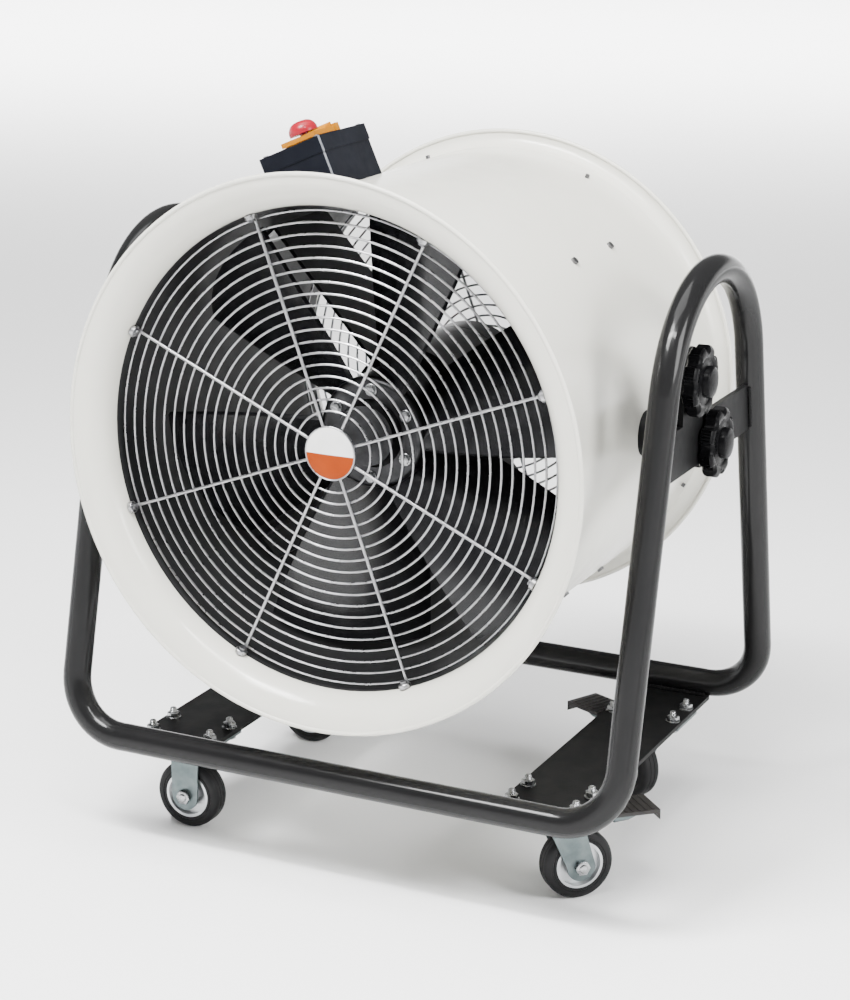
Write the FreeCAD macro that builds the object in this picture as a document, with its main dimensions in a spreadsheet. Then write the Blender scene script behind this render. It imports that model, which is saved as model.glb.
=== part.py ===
import FreeCAD, Part
import math
import os
import re

import Sketcher

# Portable ventilator fan: a tilting drum fan in a bent tube cradle on four castors.
# Millimetres. +X is right seen from the front, +Y back, +Z up; the front faces -Y.
# The origin lies on the floor under the middle of the cradle.

SIZES = {
    # cradle
    "tube_diameter": 32,
    "tube_wall": 2,
    "frame_half_depth": 235,
    "drum_side_room": 70,
    "frame_half_width": "=throat_radius + drum_side_room",
    "loop_above_axis": 185,
    "loop_top_height": "=drum_axis_height + loop_above_axis",
    "loop_top_radius": 138,
    "corner_bend_radius": 65,
    "base_plate_width": 95,
    "base_plate_length": "=2 * (frame_half_depth - plate_end_inset)",
    "plate_end_inset": 9,
    "base_plate_thickness": 5,
    "plate_seat": 3,
    # castors
    "castor_inset": 106,
    "castor_x": "=frame_half_width - castor_inset",
    "castor_y": 149,
    "castor_height": 113,
    "castor_plate_length": 95,
    "castor_plate_width": 65,
    "castor_plate_thickness": 3,
    "bolt_spacing_x": 75,
    "bolt_spacing_y": 45,
    "bolt_radius": 4,
    "bolt_head_radius": 7,
    "bolt_head_height": 5,
    "bolt_end_rise": 6,
    "washer_radius": 8.5,
    "washer_thickness": 1.5,
    "wheel_radius": 40,
    "wheel_width": 25,
    "tyre_depth": 13,
    "tyre_shoulder": 6,
    "rim_web": 12,
    "rim_flange": 3,
    "hub_radius": 12,
    "hub_width": 29,
    "axle_radius": 5,
    "axle_head_radius": 8,
    "axle_head_height": 5.5,
    "fork_gap": 30,
    "fork_sheet": 2.5,
    "fixed_leg_top": 37,
    "fork_foot_radius": 16.5,
    "castor_trail": 30,
    "front_castor_yaw": 45,
    "rear_castor_yaw": 154,
    "raceway_radius": 24,
    "raceway_depth": 6,
    "crown_radius": 27,
    "crown_thickness": 3.6,
    "crown_back": 16,
    "king_pin_radius": 6,
    "king_pin_head_radius": 10,
    "king_pin_head_height": 3,
    "pedal_pivot_reach": 58,
    "pedal_pivot_height": 93,
    "pedal_pin_radius": 3,
    "pedal_barrel_radius": 6,
    "pedal_eye_wall": 1,
    "pedal_reach": 119,
    "pedal_width": 46,
    "pedal_sheet": 4,
    "pedal_drop": 1,
    "pedal_lip": 8,
    "pedal_shoe_length": 12,
    "pedal_shoe_width": 20,
    # tilt pivot
    "drum_floor_room": 234,
    "drum_axis_height": "=throat_radius + drum_floor_room",
    "pivot_plate_thickness": 6,
    "pivot_bar_below": 19,
    "pivot_bar_above": 34,
    "lock_forward": 61,
    "lock_rise": 80,
    "lock_tab_radius": 22,
    "lock_bolt_radius": 5,
    "lock_head_radius": 11,
    "lock_head_height": 5,
    "pivot_boss_radius": 25,
    "pivot_stud_radius": 6,
    "quadrant_thickness": 5,
    "quadrant_hub_radius": 30,
    "quadrant_margin": 10,
    "tilt_up": 55,
    "tilt_down": 10,
    "slot_clearance": 0.5,
    "knob_radius": 38,
    "knob_height": 24,
    "knob_rim_height": 17,
    "knob_hub_radius": 17,
    "knob_scallop_radius": 9,
    "knob_scallop_depth": 5,
    "knob_lobes": 8,
    # drum
    "throat_radius": 261,
    "drum_wall": 2,
    "front_throat": 235,
    "front_flare_radius": 34,
    "rear_throat": 217,
    "rear_flare_radius": 17,
    "lip_height": 2,
    "screw_radius": 2.5,
    "screw_head_radius": 4,
    "screw_head_height": 3,
    "screw_end": 4,
    # guards
    "front_guard_plane": 227,
    "rear_guard_plane": 181,
    "ring_wire_radius": 1.75,
    "spoke_wire_radius": 2.5,
    "weld_depth": 0.6,
    "guard_turn": 20.5,
    "guard_edge_room": 6,
    "outer_ring_radius": "=throat_radius - guard_edge_room",
    "inner_ring_radius": 44,
    "ring_count": 18,
    "ring_pitch": "=(outer_ring_radius - inner_ring_radius) / (ring_count - 1)",
    "spoke_count": 8,
    "spoke_inner_radius": 16,
    "guard_disc_radius": 30,
    "guard_disc_thickness": 2,
    "eyelet_radius": 7,
    "eyelet_height": 5,
    "eyelet_fit": 0.1,
    "badge_radius": 32,
    "badge_thickness": 3,
    "badge_edge": 1,
    "badge_slope": 2,
    # motor and impeller
    "motor_radius": 70,
    "motor_front": 45,
    "motor_back": 75,
    "motor_cowl_radius": 74,
    "motor_cowl_length": 55,
    "motor_cowl_edge": 8,
    "motor_nose_radius": 30,
    "motor_nose_length": 8,
    "cradle_wall": 4,
    "arm_thickness": 4,
    "arm_front_screw": 30,
    "arm_rear_screw": 73,
    "arm_margin": 10,
    "arm_foot_width": 34,
    "arm_overlap": 1,
    "foot_margin": 10,
    "shaft_radius": 12,
    "shaft_depth": 25,
    "hub_back": 62,
    "hub_front": 140,
    "impeller_hub_radius": 62,
    "hub_cap_radius": 38,
    "hub_cap_length": 14,
    "hub_cap_taper": 5,
    "hub_edge": 8,
    "blade_tip_room": 11,
    "blade_tip_radius": "=throat_radius - blade_tip_room",
    "blade_root_share": 0.7,
    "blade_tip_share": 1.05,
    "blade_middle": 103,
    "blade_thickness": 5,
    "blade_count": 6,
    "blade_turn": 50,
    "root_chord": 92,
    "root_pitch": 52,
    "mid_chord": 150,
    "mid_pitch": 34,
    "tip_chord": 185,
    "tip_pitch": 23,
    "blade_bow": 260,
    # switch box
    "switch_turn": 24,
    "box_width": 80,
    "box_front": 84,
    "box_back": 26,
    "box_top": 56,
    "box_corner": 4,
    "lid_height": 18,
    "lid_lip": 1,
    "switch_width": 46,
    "switch_length": 61,
    "switch_thickness": 2,
    "button_width": 18,
    "button_length": 15,
    "button_rise": 1.5,
    "button_travel": 3,
    "button_well": 5,
    "start_place": 19.5,
    "stop_place": 41,
    "flap_top": 6,
    "flap_wall": 2,
    "flap_side_gap": 1,
    "flap_hinge_height": 5,
    "flap_barrel_radius": 4,
    "flap_pin_radius": 1.5,
    "hinge_ear_width": 5,
    "hinge_inset": 5,
    "mushroom_radius": 16.5,
    "mushroom_stem_radius": 5,
    "mushroom_height": 14,
    "mushroom_dome": 12,
    "mushroom_travel": 2.5,
    "gland_radius": 13,
    "gland_length": 24,
    "gland_nose": 8,
    "gland_taper": 3,
    "gland_bore": 5.5,
    "gland_thread_radius": 10,
    "gland_height": 24,
    # fits
    "running_fit": 0.05,
    "side_gap": 0.4,
}

V = FreeCAD.Vector
TO_FRONT = FreeCAD.Rotation(V(1, 0, 0), 90)
TO_BACK = FreeCAD.Rotation(V(1, 0, 0), -90)
TO_RIGHT = FreeCAD.Rotation(V(1, 1, 1), 120)
TO_LEFT = FreeCAD.Rotation(V(0, -1, 0), V(0, 0, 1), V(-1, 0, 0), "ZXY")
UPRIGHT = FreeCAD.Rotation()
WORD = re.compile(r"[a-z][a-z_0-9]*")

doc = FreeCAD.newDocument("ventilator_fan")
sheet = doc.addObject("Spreadsheet::Sheet", "sizes")
for row, name in enumerate(SIZES, start=1):
    sheet.set(f"A{row}", name)
    sheet.setAlias(f"B{row}", name)
for name, value in SIZES.items():
    sheet.set(name, str(value))
doc.recompute()

PARTS = []


def formula(text):
    """A formula in plain size names, with each name pointing at its cell of the sheet."""
    return WORD.sub(lambda word: f"sizes.{word.group()}" if word.group() in SIZES else word.group(), str(text))


def number(text):
    """What a formula of the sheet comes to now."""
    return float(sheet.evalExpression(formula(text)))


def bind(item, **sizes):
    for size, text in sizes.items():
        item.setExpression(size, formula(text))
    return item


def place(item, x=0, y=0, z=0, turn=UPRIGHT):
    """Turn a piece and tie its position to the sheet."""
    item.Placement = FreeCAD.Placement(V(number(x), number(y), number(z)), turn)
    for axis, text in zip("xyz", (x, y, z)):
        item.setExpression(f".Placement.Base.{axis}", formula(text))
    return item


def on_drum(item, turn=0):
    """Seat a piece made in the drum's own frame: x right, y up, z forward along the drum's axis."""
    return place(item, z="drum_axis_height", turn=TO_FRONT * FreeCAD.Rotation(V(0, 0, 1), number(turn)))


def part(item, label):
    """Name a finished sub-part, which is also its file's name."""
    item.Label = label
    PARTS.append(item)
    return item


def cylinder(radius, height, x=0, y=0, z=0, turn=UPRIGHT):
    item = doc.addObject("Part::Cylinder", "cylinder")
    bind(item, Radius=radius, Height=height)
    return place(item, x, y, z, turn)


def box(length, width, height, x=0, y=0, z=0):
    """A box whose x and y are those of its middle and whose z is its underside."""
    item = doc.addObject("Part::Box", "box")
    bind(item, Length=length, Width=width, Height=height)
    return place(item, f"{x} - ({length}) / 2", f"{y} - ({width}) / 2", z)


def cut(base, tool):
    item = doc.addObject("Part::Cut", "cut")
    item.Base = base
    item.Tool = tool
    return item


def common(base, tool):
    item = doc.addObject("Part::Common", "common")
    item.Base = base
    item.Tool = tool
    return item


def fuse(*shapes):
    item = doc.addObject("Part::MultiFuse", "fuse")
    item.Shapes = list(shapes)
    return item


def new_body():
    body = doc.addObject("PartDesign::Body", "body")
    body.AllowCompound = True
    return body


def origin_item(body, role):
    return next(item for item in body.Origin.OriginFeatures if item.Role == role)


def draw(body, plane, *loops, lift=0):
    """A sketch on one of a body's own planes.

    A loop is ("circle", x, y, radius) or a list of corners (x, y). A corner (x, y, radius, turn)
    starts an arc to the next corner, anticlockwise for a turn of 1 and clockwise for -1. A radius
    of "half" is a half circle.
    """
    sketch = body.newObject("Sketcher::SketchObject", "sketch")
    sketch.AttachmentSupport = [(origin_item(body, plane), "")]
    sketch.MapMode = "FlatFace"
    sketch.setExpression("AttachmentOffset.Base.z", formula(lift))

    def limit(text, *where):
        index = sketch.addConstraint(Sketcher.Constraint(*where, number(text)))
        sketch.setExpression(f"Constraints[{index}]", formula(text))

    for loop in loops:
        if loop[0] == "circle":
            across, up, radius = loop[1:]
            middle = V(number(across), number(up), 0)
            ring = sketch.addGeometry(Part.Circle(middle, V(0, 0, 1), number(radius)))
            limit(across, "DistanceX", -1, 1, ring, 3)
            limit(up, "DistanceY", -1, 1, ring, 3)
            limit(radius, "Radius", ring)
            continue
        starts = []
        ends = []
        for corner, after in zip(loop, loop[1:] + loop[:1]):
            here = V(number(corner[0]), number(corner[1]), 0)
            there = V(number(after[0]), number(after[1]), 0)
            if len(corner) == 2:
                edge = sketch.addGeometry(Part.LineSegment(here, there))
                starts.append((edge, 1))
                ends.append((edge, 2))
                continue
            chord = there - here
            radius = chord.Length / 2 if corner[2] == "half" else number(corner[2])
            rise = math.sqrt(max(radius ** 2 - (chord.Length / 2) ** 2, 0))
            side = V(-chord.y, chord.x, 0).normalize() * rise * corner[3]
            middle = (here + there) * 0.5 + side
            first, last = (here, there) if corner[3] > 0 else (there, here)
            angles = [math.atan2(end.y - middle.y, end.x - middle.x) for end in (first, last)]
            arc = Part.ArcOfCircle(Part.Circle(middle, V(0, 0, 1), radius), *angles)
            edge = sketch.addGeometry(arc)
            starts.append((edge, 1 if corner[3] > 0 else 2))
            ends.append((edge, 2 if corner[3] > 0 else 1))
        for corner, start, end in zip(loop, starts, ends[-1:] + ends[:-1]):
            sketch.addConstraint(Sketcher.Constraint("Coincident", *end, *start))
            limit(corner[0], "DistanceX", -1, 1, *start)
            limit(corner[1], "DistanceY", -1, 1, *start)
        for corner, start in zip(loop, starts):
            edge = start[0]
            if len(corner) == 4 and corner[2] == "half":
                sketch.addConstraint(Sketcher.Constraint("Symmetric", edge, 1, edge, 2, edge, 3))
            elif len(corner) == 4:
                limit(corner[2], "Radius", edge)
    return sketch


def pad(body, plane, length, *loops, lift=0):
    feature = body.newObject("PartDesign::Pad", "pad")
    feature.Profile = draw(body, plane, *loops, lift=lift)
    bind(feature, Length=length)
    return feature


def revolve(body, *loops):
    """Turn half-sections (radius, height) around the body's own upright axis."""
    feature = body.newObject("PartDesign::Revolution", "revolution")
    sketch = draw(body, "XZ_Plane", *loops)
    feature.Profile = sketch
    feature.ReferenceAxis = (sketch, ["V_Axis"])
    feature.Angle = 360
    return feature


def repeat_round(body, count, *features):
    """Repeat features evenly around the body's own upright axis."""
    pattern = body.newObject("PartDesign::PolarPattern", "pattern")
    pattern.Originals = list(features)
    pattern.Axis = (origin_item(body, "Z_Axis"), [""])
    pattern.Angle = 360
    bind(pattern, Occurrences=count)
    body.Tip = pattern
    return pattern


def turned(*loops):
    body = new_body()
    revolve(body, *loops)
    return body


def block(width, height):
    """A rectangle around the sketch's middle."""
    return [(f"-({width}) / 2", f"-({height}) / 2"), (f"({width}) / 2", f"-({height}) / 2"),
            (f"({width}) / 2", f"({height}) / 2"), (f"-({width}) / 2", f"({height}) / 2")]


def stepped_pin(*steps):
    """A turned pin from (radius, length) steps, standing on z = 0."""
    corners = [("0", "0")]
    height = "0"
    for radius, length in steps:
        corners.append((radius, height))
        height = f"{height} + {length}"
        corners.append((radius, height))
    corners.append(("0", height))
    return turned(corners)


# Cradle: two tube loops, joined by a straight rail in front and one behind
RAIL_HEIGHT = "castor_height + base_plate_thickness + tube_diameter / 2 - plate_seat"
RAIL_HALF = "(frame_half_width - corner_bend_radius)"


def rail(label, y):
    """The hollow rail, and the same rail filled, which shapes the ends of the base plates."""
    length = f"2 * {RAIL_HALF}"
    outer = cylinder("tube_diameter / 2", length, f"-{RAIL_HALF}", y, RAIL_HEIGHT, TO_RIGHT)
    bore = cylinder("tube_diameter / 2 - tube_wall", length, f"-{RAIL_HALF}", y, RAIL_HEIGHT, TO_RIGHT)
    part(cut(outer, bore), label)
    return outer


def loop_path(side):
    """Centre line of one loop: a corner bend, the front leg, the top arc, the rear leg, a corner bend."""
    depth = number("frame_half_depth")
    low = number(RAIL_HEIGHT)
    bend = number("corner_bend_radius")
    crown = number("loop_top_radius")
    width = number("frame_half_width") * side
    middle = number("loop_top_height") - crown
    reach = math.hypot(depth, middle - low)
    lean = math.atan2(depth, middle - low) - math.asin(crown / reach)
    leg = math.sqrt(reach ** 2 - crown ** 2)
    inward = V(-side, 0, 0)

    def corner(end):
        along = V(0, -end * math.sin(lean), math.cos(lean))
        foot = V(width, end * depth, low)
        centre = foot + (inward + along) * bend
        outward = (inward + along).normalize() * -bend
        return foot + inward * bend, centre + outward, foot + along * bend, foot + along * leg

    front_start, front_bend, front_leg, front_top = corner(-1)
    rear_start, rear_bend, rear_leg, rear_top = corner(1)
    top = V(width, 0, middle + crown)
    return Part.Wire([
        Part.Arc(front_start, front_bend, front_leg).toShape(),
        Part.LineSegment(front_leg, front_top).toShape(),
        Part.Arc(front_top, top, rear_top).toShape(),
        Part.LineSegment(rear_top, rear_leg).toShape(),
        Part.Arc(rear_leg, rear_bend, rear_start).toShape(),
    ])


def loop_tube(side, radius):
    path = loop_path(side)
    start = path.Edges[0].valueAt(path.Edges[0].FirstParameter)
    ring = Part.Wire([Part.Circle(start, V(1, 0, 0), radius).toShape()])
    return path.makePipeShell([ring], True, False)


def side_loop(label, side):
    """The hollow loop, and the same loop filled, which shapes the ends of its pivot plate."""
    outer = number("tube_diameter / 2")
    filled = doc.addObject("Part::Feature", "filled_loop")
    filled.Shape = loop_tube(side, outer)
    tube = doc.addObject("Part::Feature", "loop")
    tube.Shape = filled.Shape.cut(loop_tube(side, outer - number("tube_wall")))
    part(tube, label)
    return filled


filled_rails = [rail("front_rail", "-frame_half_depth"), rail("rear_rail", "frame_half_depth")]
filled_loops = {side: side_loop(f"side_loop_{word}", side) for word, side in (("left", -1), ("right", 1))}


# Base plates between the rails, cut to the tubes and drilled for two castors each
def bolt_holes(y):
    return [("circle", f"{i} * bolt_spacing_x / 2", f"{y} + {j} * bolt_spacing_y / 2", "bolt_radius")
            for i in (-1, 1) for j in (-1, 1)]


for word, side in (("left", -1), ("right", 1)):
    body = new_body()
    outline = block("base_plate_width", "base_plate_length")
    pad(body, "XY_Plane", "base_plate_thickness", outline, *bolt_holes("-castor_y"), *bolt_holes("castor_y"))
    place(body, f"{side} * castor_x", 0, "castor_height")
    part(cut(body, fuse(*filled_rails, filled_loops[side])), f"base_plate_{word}")

# Sixteen castor bolts with washers, nuts and domed ends, one group
BOLT_GRIP = "castor_plate_thickness + base_plate_thickness"
bolts = []
for x_side in (-1, 1):
    for y_side in (-1, 1):
        for i in (-1, 1):
            for j in (-1, 1):
                x = f"{x_side} * castor_x + {i} * bolt_spacing_x / 2"
                y = f"{y_side} * castor_y + {j} * bolt_spacing_y / 2"
                bolt = stepped_pin(("bolt_head_radius", "bolt_head_height"), ("bolt_radius", BOLT_GRIP),
                                   ("washer_radius", "washer_thickness"),
                                   ("bolt_head_radius", "bolt_head_height"), ("bolt_radius", "bolt_end_rise"))
                place(bolt, x, y, "castor_height - castor_plate_thickness - bolt_head_height")
                bolts.append(bolt)
group = doc.addObject("Part::Compound", "bolts")
group.Links = bolts
part(group, "castor_bolts")


# Castors, each made about the upright axis of its plate, with the trail along +x and the axle along y
def castor_plate():
    body = new_body()
    outline = block("castor_plate_length", "castor_plate_width")
    pad(body, "XY_Plane", "castor_plate_thickness", outline, *bolt_holes("0"))
    return place(body, z="castor_height - castor_plate_thickness")


def fork_legs(top, top_front, top_back, trail):
    """Two tapering sheet legs joined across the top, with round feet about the axle."""
    foot = "fork_foot_radius"
    width = "(fork_gap + 2 * fork_sheet)"
    body = new_body()
    outline = [(f"-{top_back}", top), (f"{trail} - {foot}", "wheel_radius", "half", 1),
               (f"{trail} + {foot}", "wheel_radius"), (top_front, top)]
    pad(body, "XZ_Plane", width, outline, lift=f"-{width} / 2")
    gap = box("4 * wheel_radius", "fork_gap", f"{top} - fork_sheet", trail, 0, 0)
    hole = cylinder("axle_radius", f"2 * {width}", trail, f"-{width}", "wheel_radius", TO_BACK)
    return cut(cut(body, gap), hole)


def wheel(name, x, y, yaw):
    """A rubber tyre on a dished rim with a bored hub."""
    turn = FreeCAD.Rotation(V(0, 0, 1), number(yaw)) * TO_FRONT
    seat = "wheel_radius - tyre_depth"
    half = "wheel_width / 2"
    tyre = turned([(seat, f"-{half}"), ("wheel_radius - tyre_shoulder", f"-{half}", "tyre_shoulder", 1),
                   ("wheel_radius", f"-{half} + tyre_shoulder"),
                   ("wheel_radius", f"{half} - tyre_shoulder", "tyre_shoulder", 1),
                   ("wheel_radius - tyre_shoulder", half), (seat, half)])
    bore = "axle_radius + running_fit"
    flange = f"{seat} - rim_flange"
    rim = turned([(bore, "-hub_width / 2"), ("hub_radius", "-hub_width / 2"), ("hub_radius", "-rim_web / 2"),
                  (flange, "-rim_web / 2"), (flange, f"-{half}"), (seat, f"-{half}"), (seat, half),
                  (flange, half), (flange, "rim_web / 2"), ("hub_radius", "rim_web / 2"),
                  ("hub_radius", "hub_width / 2"), (bore, "hub_width / 2")])
    for piece, kind in ((tyre, "tyre"), (rim, "rim")):
        place(piece, x, y, "wheel_radius", turn)
        part(piece, f"{kind}_{name}")


def axle(name, x, y, yaw):
    """A bolt through both legs, with a hexagon-sized head and nut outside them."""
    grip = "(fork_gap + 2 * fork_sheet)"
    pin = stepped_pin(("axle_head_radius", "axle_head_height"), ("axle_radius", grip),
                      ("axle_head_radius", "axle_head_height"), ("axle_radius", "fork_sheet"))
    back = f"({grip} / 2 + axle_head_height)"
    turn = FreeCAD.Rotation(V(0, 0, 1), number(yaw)) * TO_FRONT
    place(pin, f"{x} - {back} * sin({yaw})", f"{y} + {back} * cos({yaw})", "wheel_radius", turn)
    part(pin, name)


def fixed_castor(name, y):
    x = "-castor_x"
    top = "castor_height - castor_plate_thickness"
    legs = fork_legs(top, "fixed_leg_top / 2", "fixed_leg_top / 2", "0")
    part(place(fuse(castor_plate(), legs), x, y), f"fixed_fork_{name}")
    axle(f"fixed_axle_{name}", x, y, "0")
    wheel(f"left_{name}", x, y, "0")


def swivel_castor(name, y, yaw):
    x = "castor_x"
    turn = FreeCAD.Rotation(V(0, 0, 1), number(yaw))
    plate_under = "castor_height - castor_plate_thickness"
    race_under = f"({plate_under} - raceway_depth)"
    crown_top = f"({race_under} - side_gap)"
    crown_under = f"({crown_top} - crown_thickness)"
    head_top = f"({crown_under} - side_gap)"

    # Top plate with its ball race and the king pin riveted through it
    race = cylinder("raceway_radius", "raceway_depth", z=race_under)
    pin = cylinder("king_pin_radius", f"{race_under} - {head_top}", z=head_top)
    head = cylinder("king_pin_head_radius", "king_pin_head_height", z=f"{head_top} - king_pin_head_height")
    part(place(fuse(castor_plate(), race, pin, head), x, y), f"swivel_plate_{name}")

    # Fork: a crown round the king pin, two raked legs, and arms that carry the pedal's pin
    crown = cylinder("crown_radius", "crown_thickness", z=crown_under)
    legs = fork_legs(crown_top, "crown_radius", "crown_back", "castor_trail")
    width = "(fork_gap + 2 * fork_sheet)"
    arm = new_body()
    reach = "pedal_pivot_reach"
    eye = "(pedal_barrel_radius + pedal_eye_wall)"
    height = "pedal_pivot_height"
    pad(arm, "XZ_Plane", width, [("0", crown_top), ("castor_trail / 2", f"{height} - {eye} * 2"),
                                 (reach, f"{height} - {eye}", "half", 1), (reach, f"{height} + {eye}")],
        lift=f"-{width} / 2")
    gap = box("4 * wheel_radius", "fork_gap", crown_under, "castor_trail", 0, 0)
    pedal_pin = cylinder("pedal_pin_radius", width, reach, f"-{width} / 2", height, TO_BACK)
    clear = cylinder("king_pin_head_radius + side_gap", crown_under)
    hole = cylinder("king_pin_radius + running_fit", "castor_height")
    fork = cut(fuse(crown, cut(legs, clear), cut(arm, gap), pedal_pin), hole)
    part(place(fork, x, y, 0, turn), f"swivel_fork_{name}")

    # Brake pedal: a barrel on the pin, a foot plate outwards with a turned-down lip, and a shoe below
    inside = "(fork_gap - 2 * side_gap)"
    barrel = cylinder("pedal_barrel_radius", inside, reach, f"-{inside} / 2", height, TO_BACK)
    foot = new_body()
    sheet_top = f"{height} + pedal_barrel_radius"
    start = f"{reach} + {eye} + side_gap"
    pad(foot, "XZ_Plane", "pedal_width",
        [(start, f"{sheet_top} - pedal_sheet"),
         ("pedal_reach - pedal_sheet", f"{sheet_top} - pedal_sheet - pedal_drop"),
         ("pedal_reach", f"{sheet_top} - pedal_sheet - pedal_drop - pedal_lip"),
         ("pedal_reach", f"{sheet_top} - pedal_drop"), (start, sheet_top)], lift="-pedal_width / 2")
    neck = new_body()
    pad(neck, "XZ_Plane", inside,
        [(reach, f"{height} + pedal_barrel_radius - pedal_sheet"), (start, f"{sheet_top} - pedal_sheet"),
         (f"{start} + pedal_sheet", sheet_top), (reach, sheet_top)], lift=f"-{inside} / 2")
    shoe = box("pedal_sheet", "pedal_shoe_width", "pedal_shoe_length", reach, 0, f"{height} - pedal_shoe_length")
    bore = cylinder("pedal_pin_radius + running_fit", inside, reach, f"-{inside} / 2", height, TO_BACK)
    pedal = cut(fuse(barrel, foot, neck, shoe), bore)
    part(place(pedal, x, y, 0, turn), f"brake_pedal_{name}")

    wheel_x = f"{x} + castor_trail * cos({yaw})"
    wheel_y = f"{y} + castor_trail * sin({yaw})"
    axle(f"swivel_axle_{name}", wheel_x, wheel_y, yaw)
    wheel(f"right_{name}", wheel_x, wheel_y, yaw)


fixed_castor("front", "-castor_y")
fixed_castor("rear", "castor_y")
swivel_castor("front", "-castor_y", "front_castor_yaw")
swivel_castor("rear", "castor_y", "rear_castor_yaw")

# Tilt pivots. Each side has a plate welded between the legs, a slotted quadrant on the drum just inside
# it, a stud on the drum's pivot boss and a lock bolt through the plate's tab and the quadrant's slot.
LOCK_RADIUS = "(lock_forward ^ 2 + lock_rise ^ 2) ^ 0.5"
LOCK_ANGLE = "(90 + atan(lock_forward / lock_rise) / 1 deg)"
PLATE_INSIDE = "(frame_half_width - pivot_plate_thickness / 2)"
PLATE_OUTSIDE = "(frame_half_width + pivot_plate_thickness / 2)"
QUADRANT_OUTSIDE = f"({PLATE_INSIDE} - side_gap)"
QUADRANT_INSIDE = f"({QUADRANT_OUTSIDE} - quadrant_thickness)"
KNOB_INSIDE = f"({PLATE_OUTSIDE} + side_gap)"


def pivot_plate(label, side):
    reach = "frame_half_depth"
    tab = "lock_tab_radius"
    outline = [(f"-{reach}", "-pivot_bar_below"), (reach, "-pivot_bar_below"), (reach, "pivot_bar_above"),
               (f"{tab} - lock_forward", "pivot_bar_above"), (f"{tab} - lock_forward", "lock_rise", "half", 1),
               (f"-lock_forward - {tab}", "lock_rise"), (f"-lock_forward - {tab}", "pivot_bar_above"),
               (f"-{reach}", "pivot_bar_above")]
    body = new_body()
    pad(body, "XY_Plane", "pivot_plate_thickness", outline,
        ("circle", "0", "0", "pivot_stud_radius + running_fit"),
        ("circle", "-lock_forward", "lock_rise", "lock_bolt_radius"))
    place(body, f"{side} * frame_half_width - pivot_plate_thickness / 2", 0, "drum_axis_height", TO_RIGHT)
    between = box("2 * tube_diameter", "2 * frame_half_depth", "loop_top_height", f"{side} * frame_half_width")
    trimmed = cut(common(body, between), filled_loops[side])
    doc.recompute()
    # The bar is drawn past the legs, and the piece between them is kept
    middle = V(side * number("frame_half_width"), 0, number("drum_axis_height"))
    plate = doc.addObject("Part::Feature", "pivot_plate")
    plate.Shape = min(trimmed.Shape.Solids, key=lambda solid: (solid.CenterOfMass - middle).Length)
    part(plate, label)


def quadrant(label, x):
    outer = f"({LOCK_RADIUS} + lock_bolt_radius + slot_clearance + quadrant_margin)"
    start = f"({LOCK_ANGLE} - tilt_down)"
    margin = f"((lock_bolt_radius + slot_clearance + quadrant_margin) / {LOCK_RADIUS} * 180 / pi)"
    travel = "(tilt_up + tilt_down)"
    slot = "(lock_bolt_radius + slot_clearance)"

    def sector(radius, first, angle):
        item = cylinder(radius, "quadrant_thickness", turn=FreeCAD.Rotation(V(0, 0, 1), number(first)))
        return bind(item, Angle=angle)

    plate = fuse(sector(outer, f"{start} - {margin}", f"{travel} + 2 * {margin}"),
                 cylinder("quadrant_hub_radius", "quadrant_thickness"))
    band = cut(sector(f"{LOCK_RADIUS} + {slot}", start, travel),
               cylinder(f"{LOCK_RADIUS} - {slot}", "quadrant_thickness"))
    ends = [cylinder(slot, "quadrant_thickness", f"{LOCK_RADIUS} * cos({angle})", f"{LOCK_RADIUS} * sin({angle})")
            for angle in (start, f"{start} + {travel}")]
    hole = cylinder("pivot_stud_radius", "quadrant_thickness")
    plate = cut(plate, fuse(band, *ends, hole))
    part(place(plate, x, 0, "drum_axis_height", TO_RIGHT), label)


def knob():
    """A lobed hand knob with a stepped face and a through bore for its stud."""
    body = new_body()
    bore = "pivot_stud_radius + running_fit"
    edge = "(knob_height - knob_rim_height) / 2"
    revolve(body, [(bore, "0"), (f"knob_radius - {edge}", "0"), ("knob_radius", edge),
                   ("knob_radius", f"knob_rim_height - {edge}"), (f"knob_radius - {edge}", "knob_rim_height"),
                   ("knob_hub_radius", "knob_rim_height"), ("knob_hub_radius", "knob_height"),
                   (bore, "knob_height")])
    scallop = body.newObject("PartDesign::Pocket", "scallop")
    centre = "knob_radius + knob_scallop_radius - knob_scallop_depth"
    scallop.Profile = draw(body, "XY_Plane", ("circle", centre, "0", "knob_scallop_radius"))
    scallop.Reversed = True
    bind(scallop, Length="knob_height")
    repeat_round(body, "knob_lobes", scallop)
    return body


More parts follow.
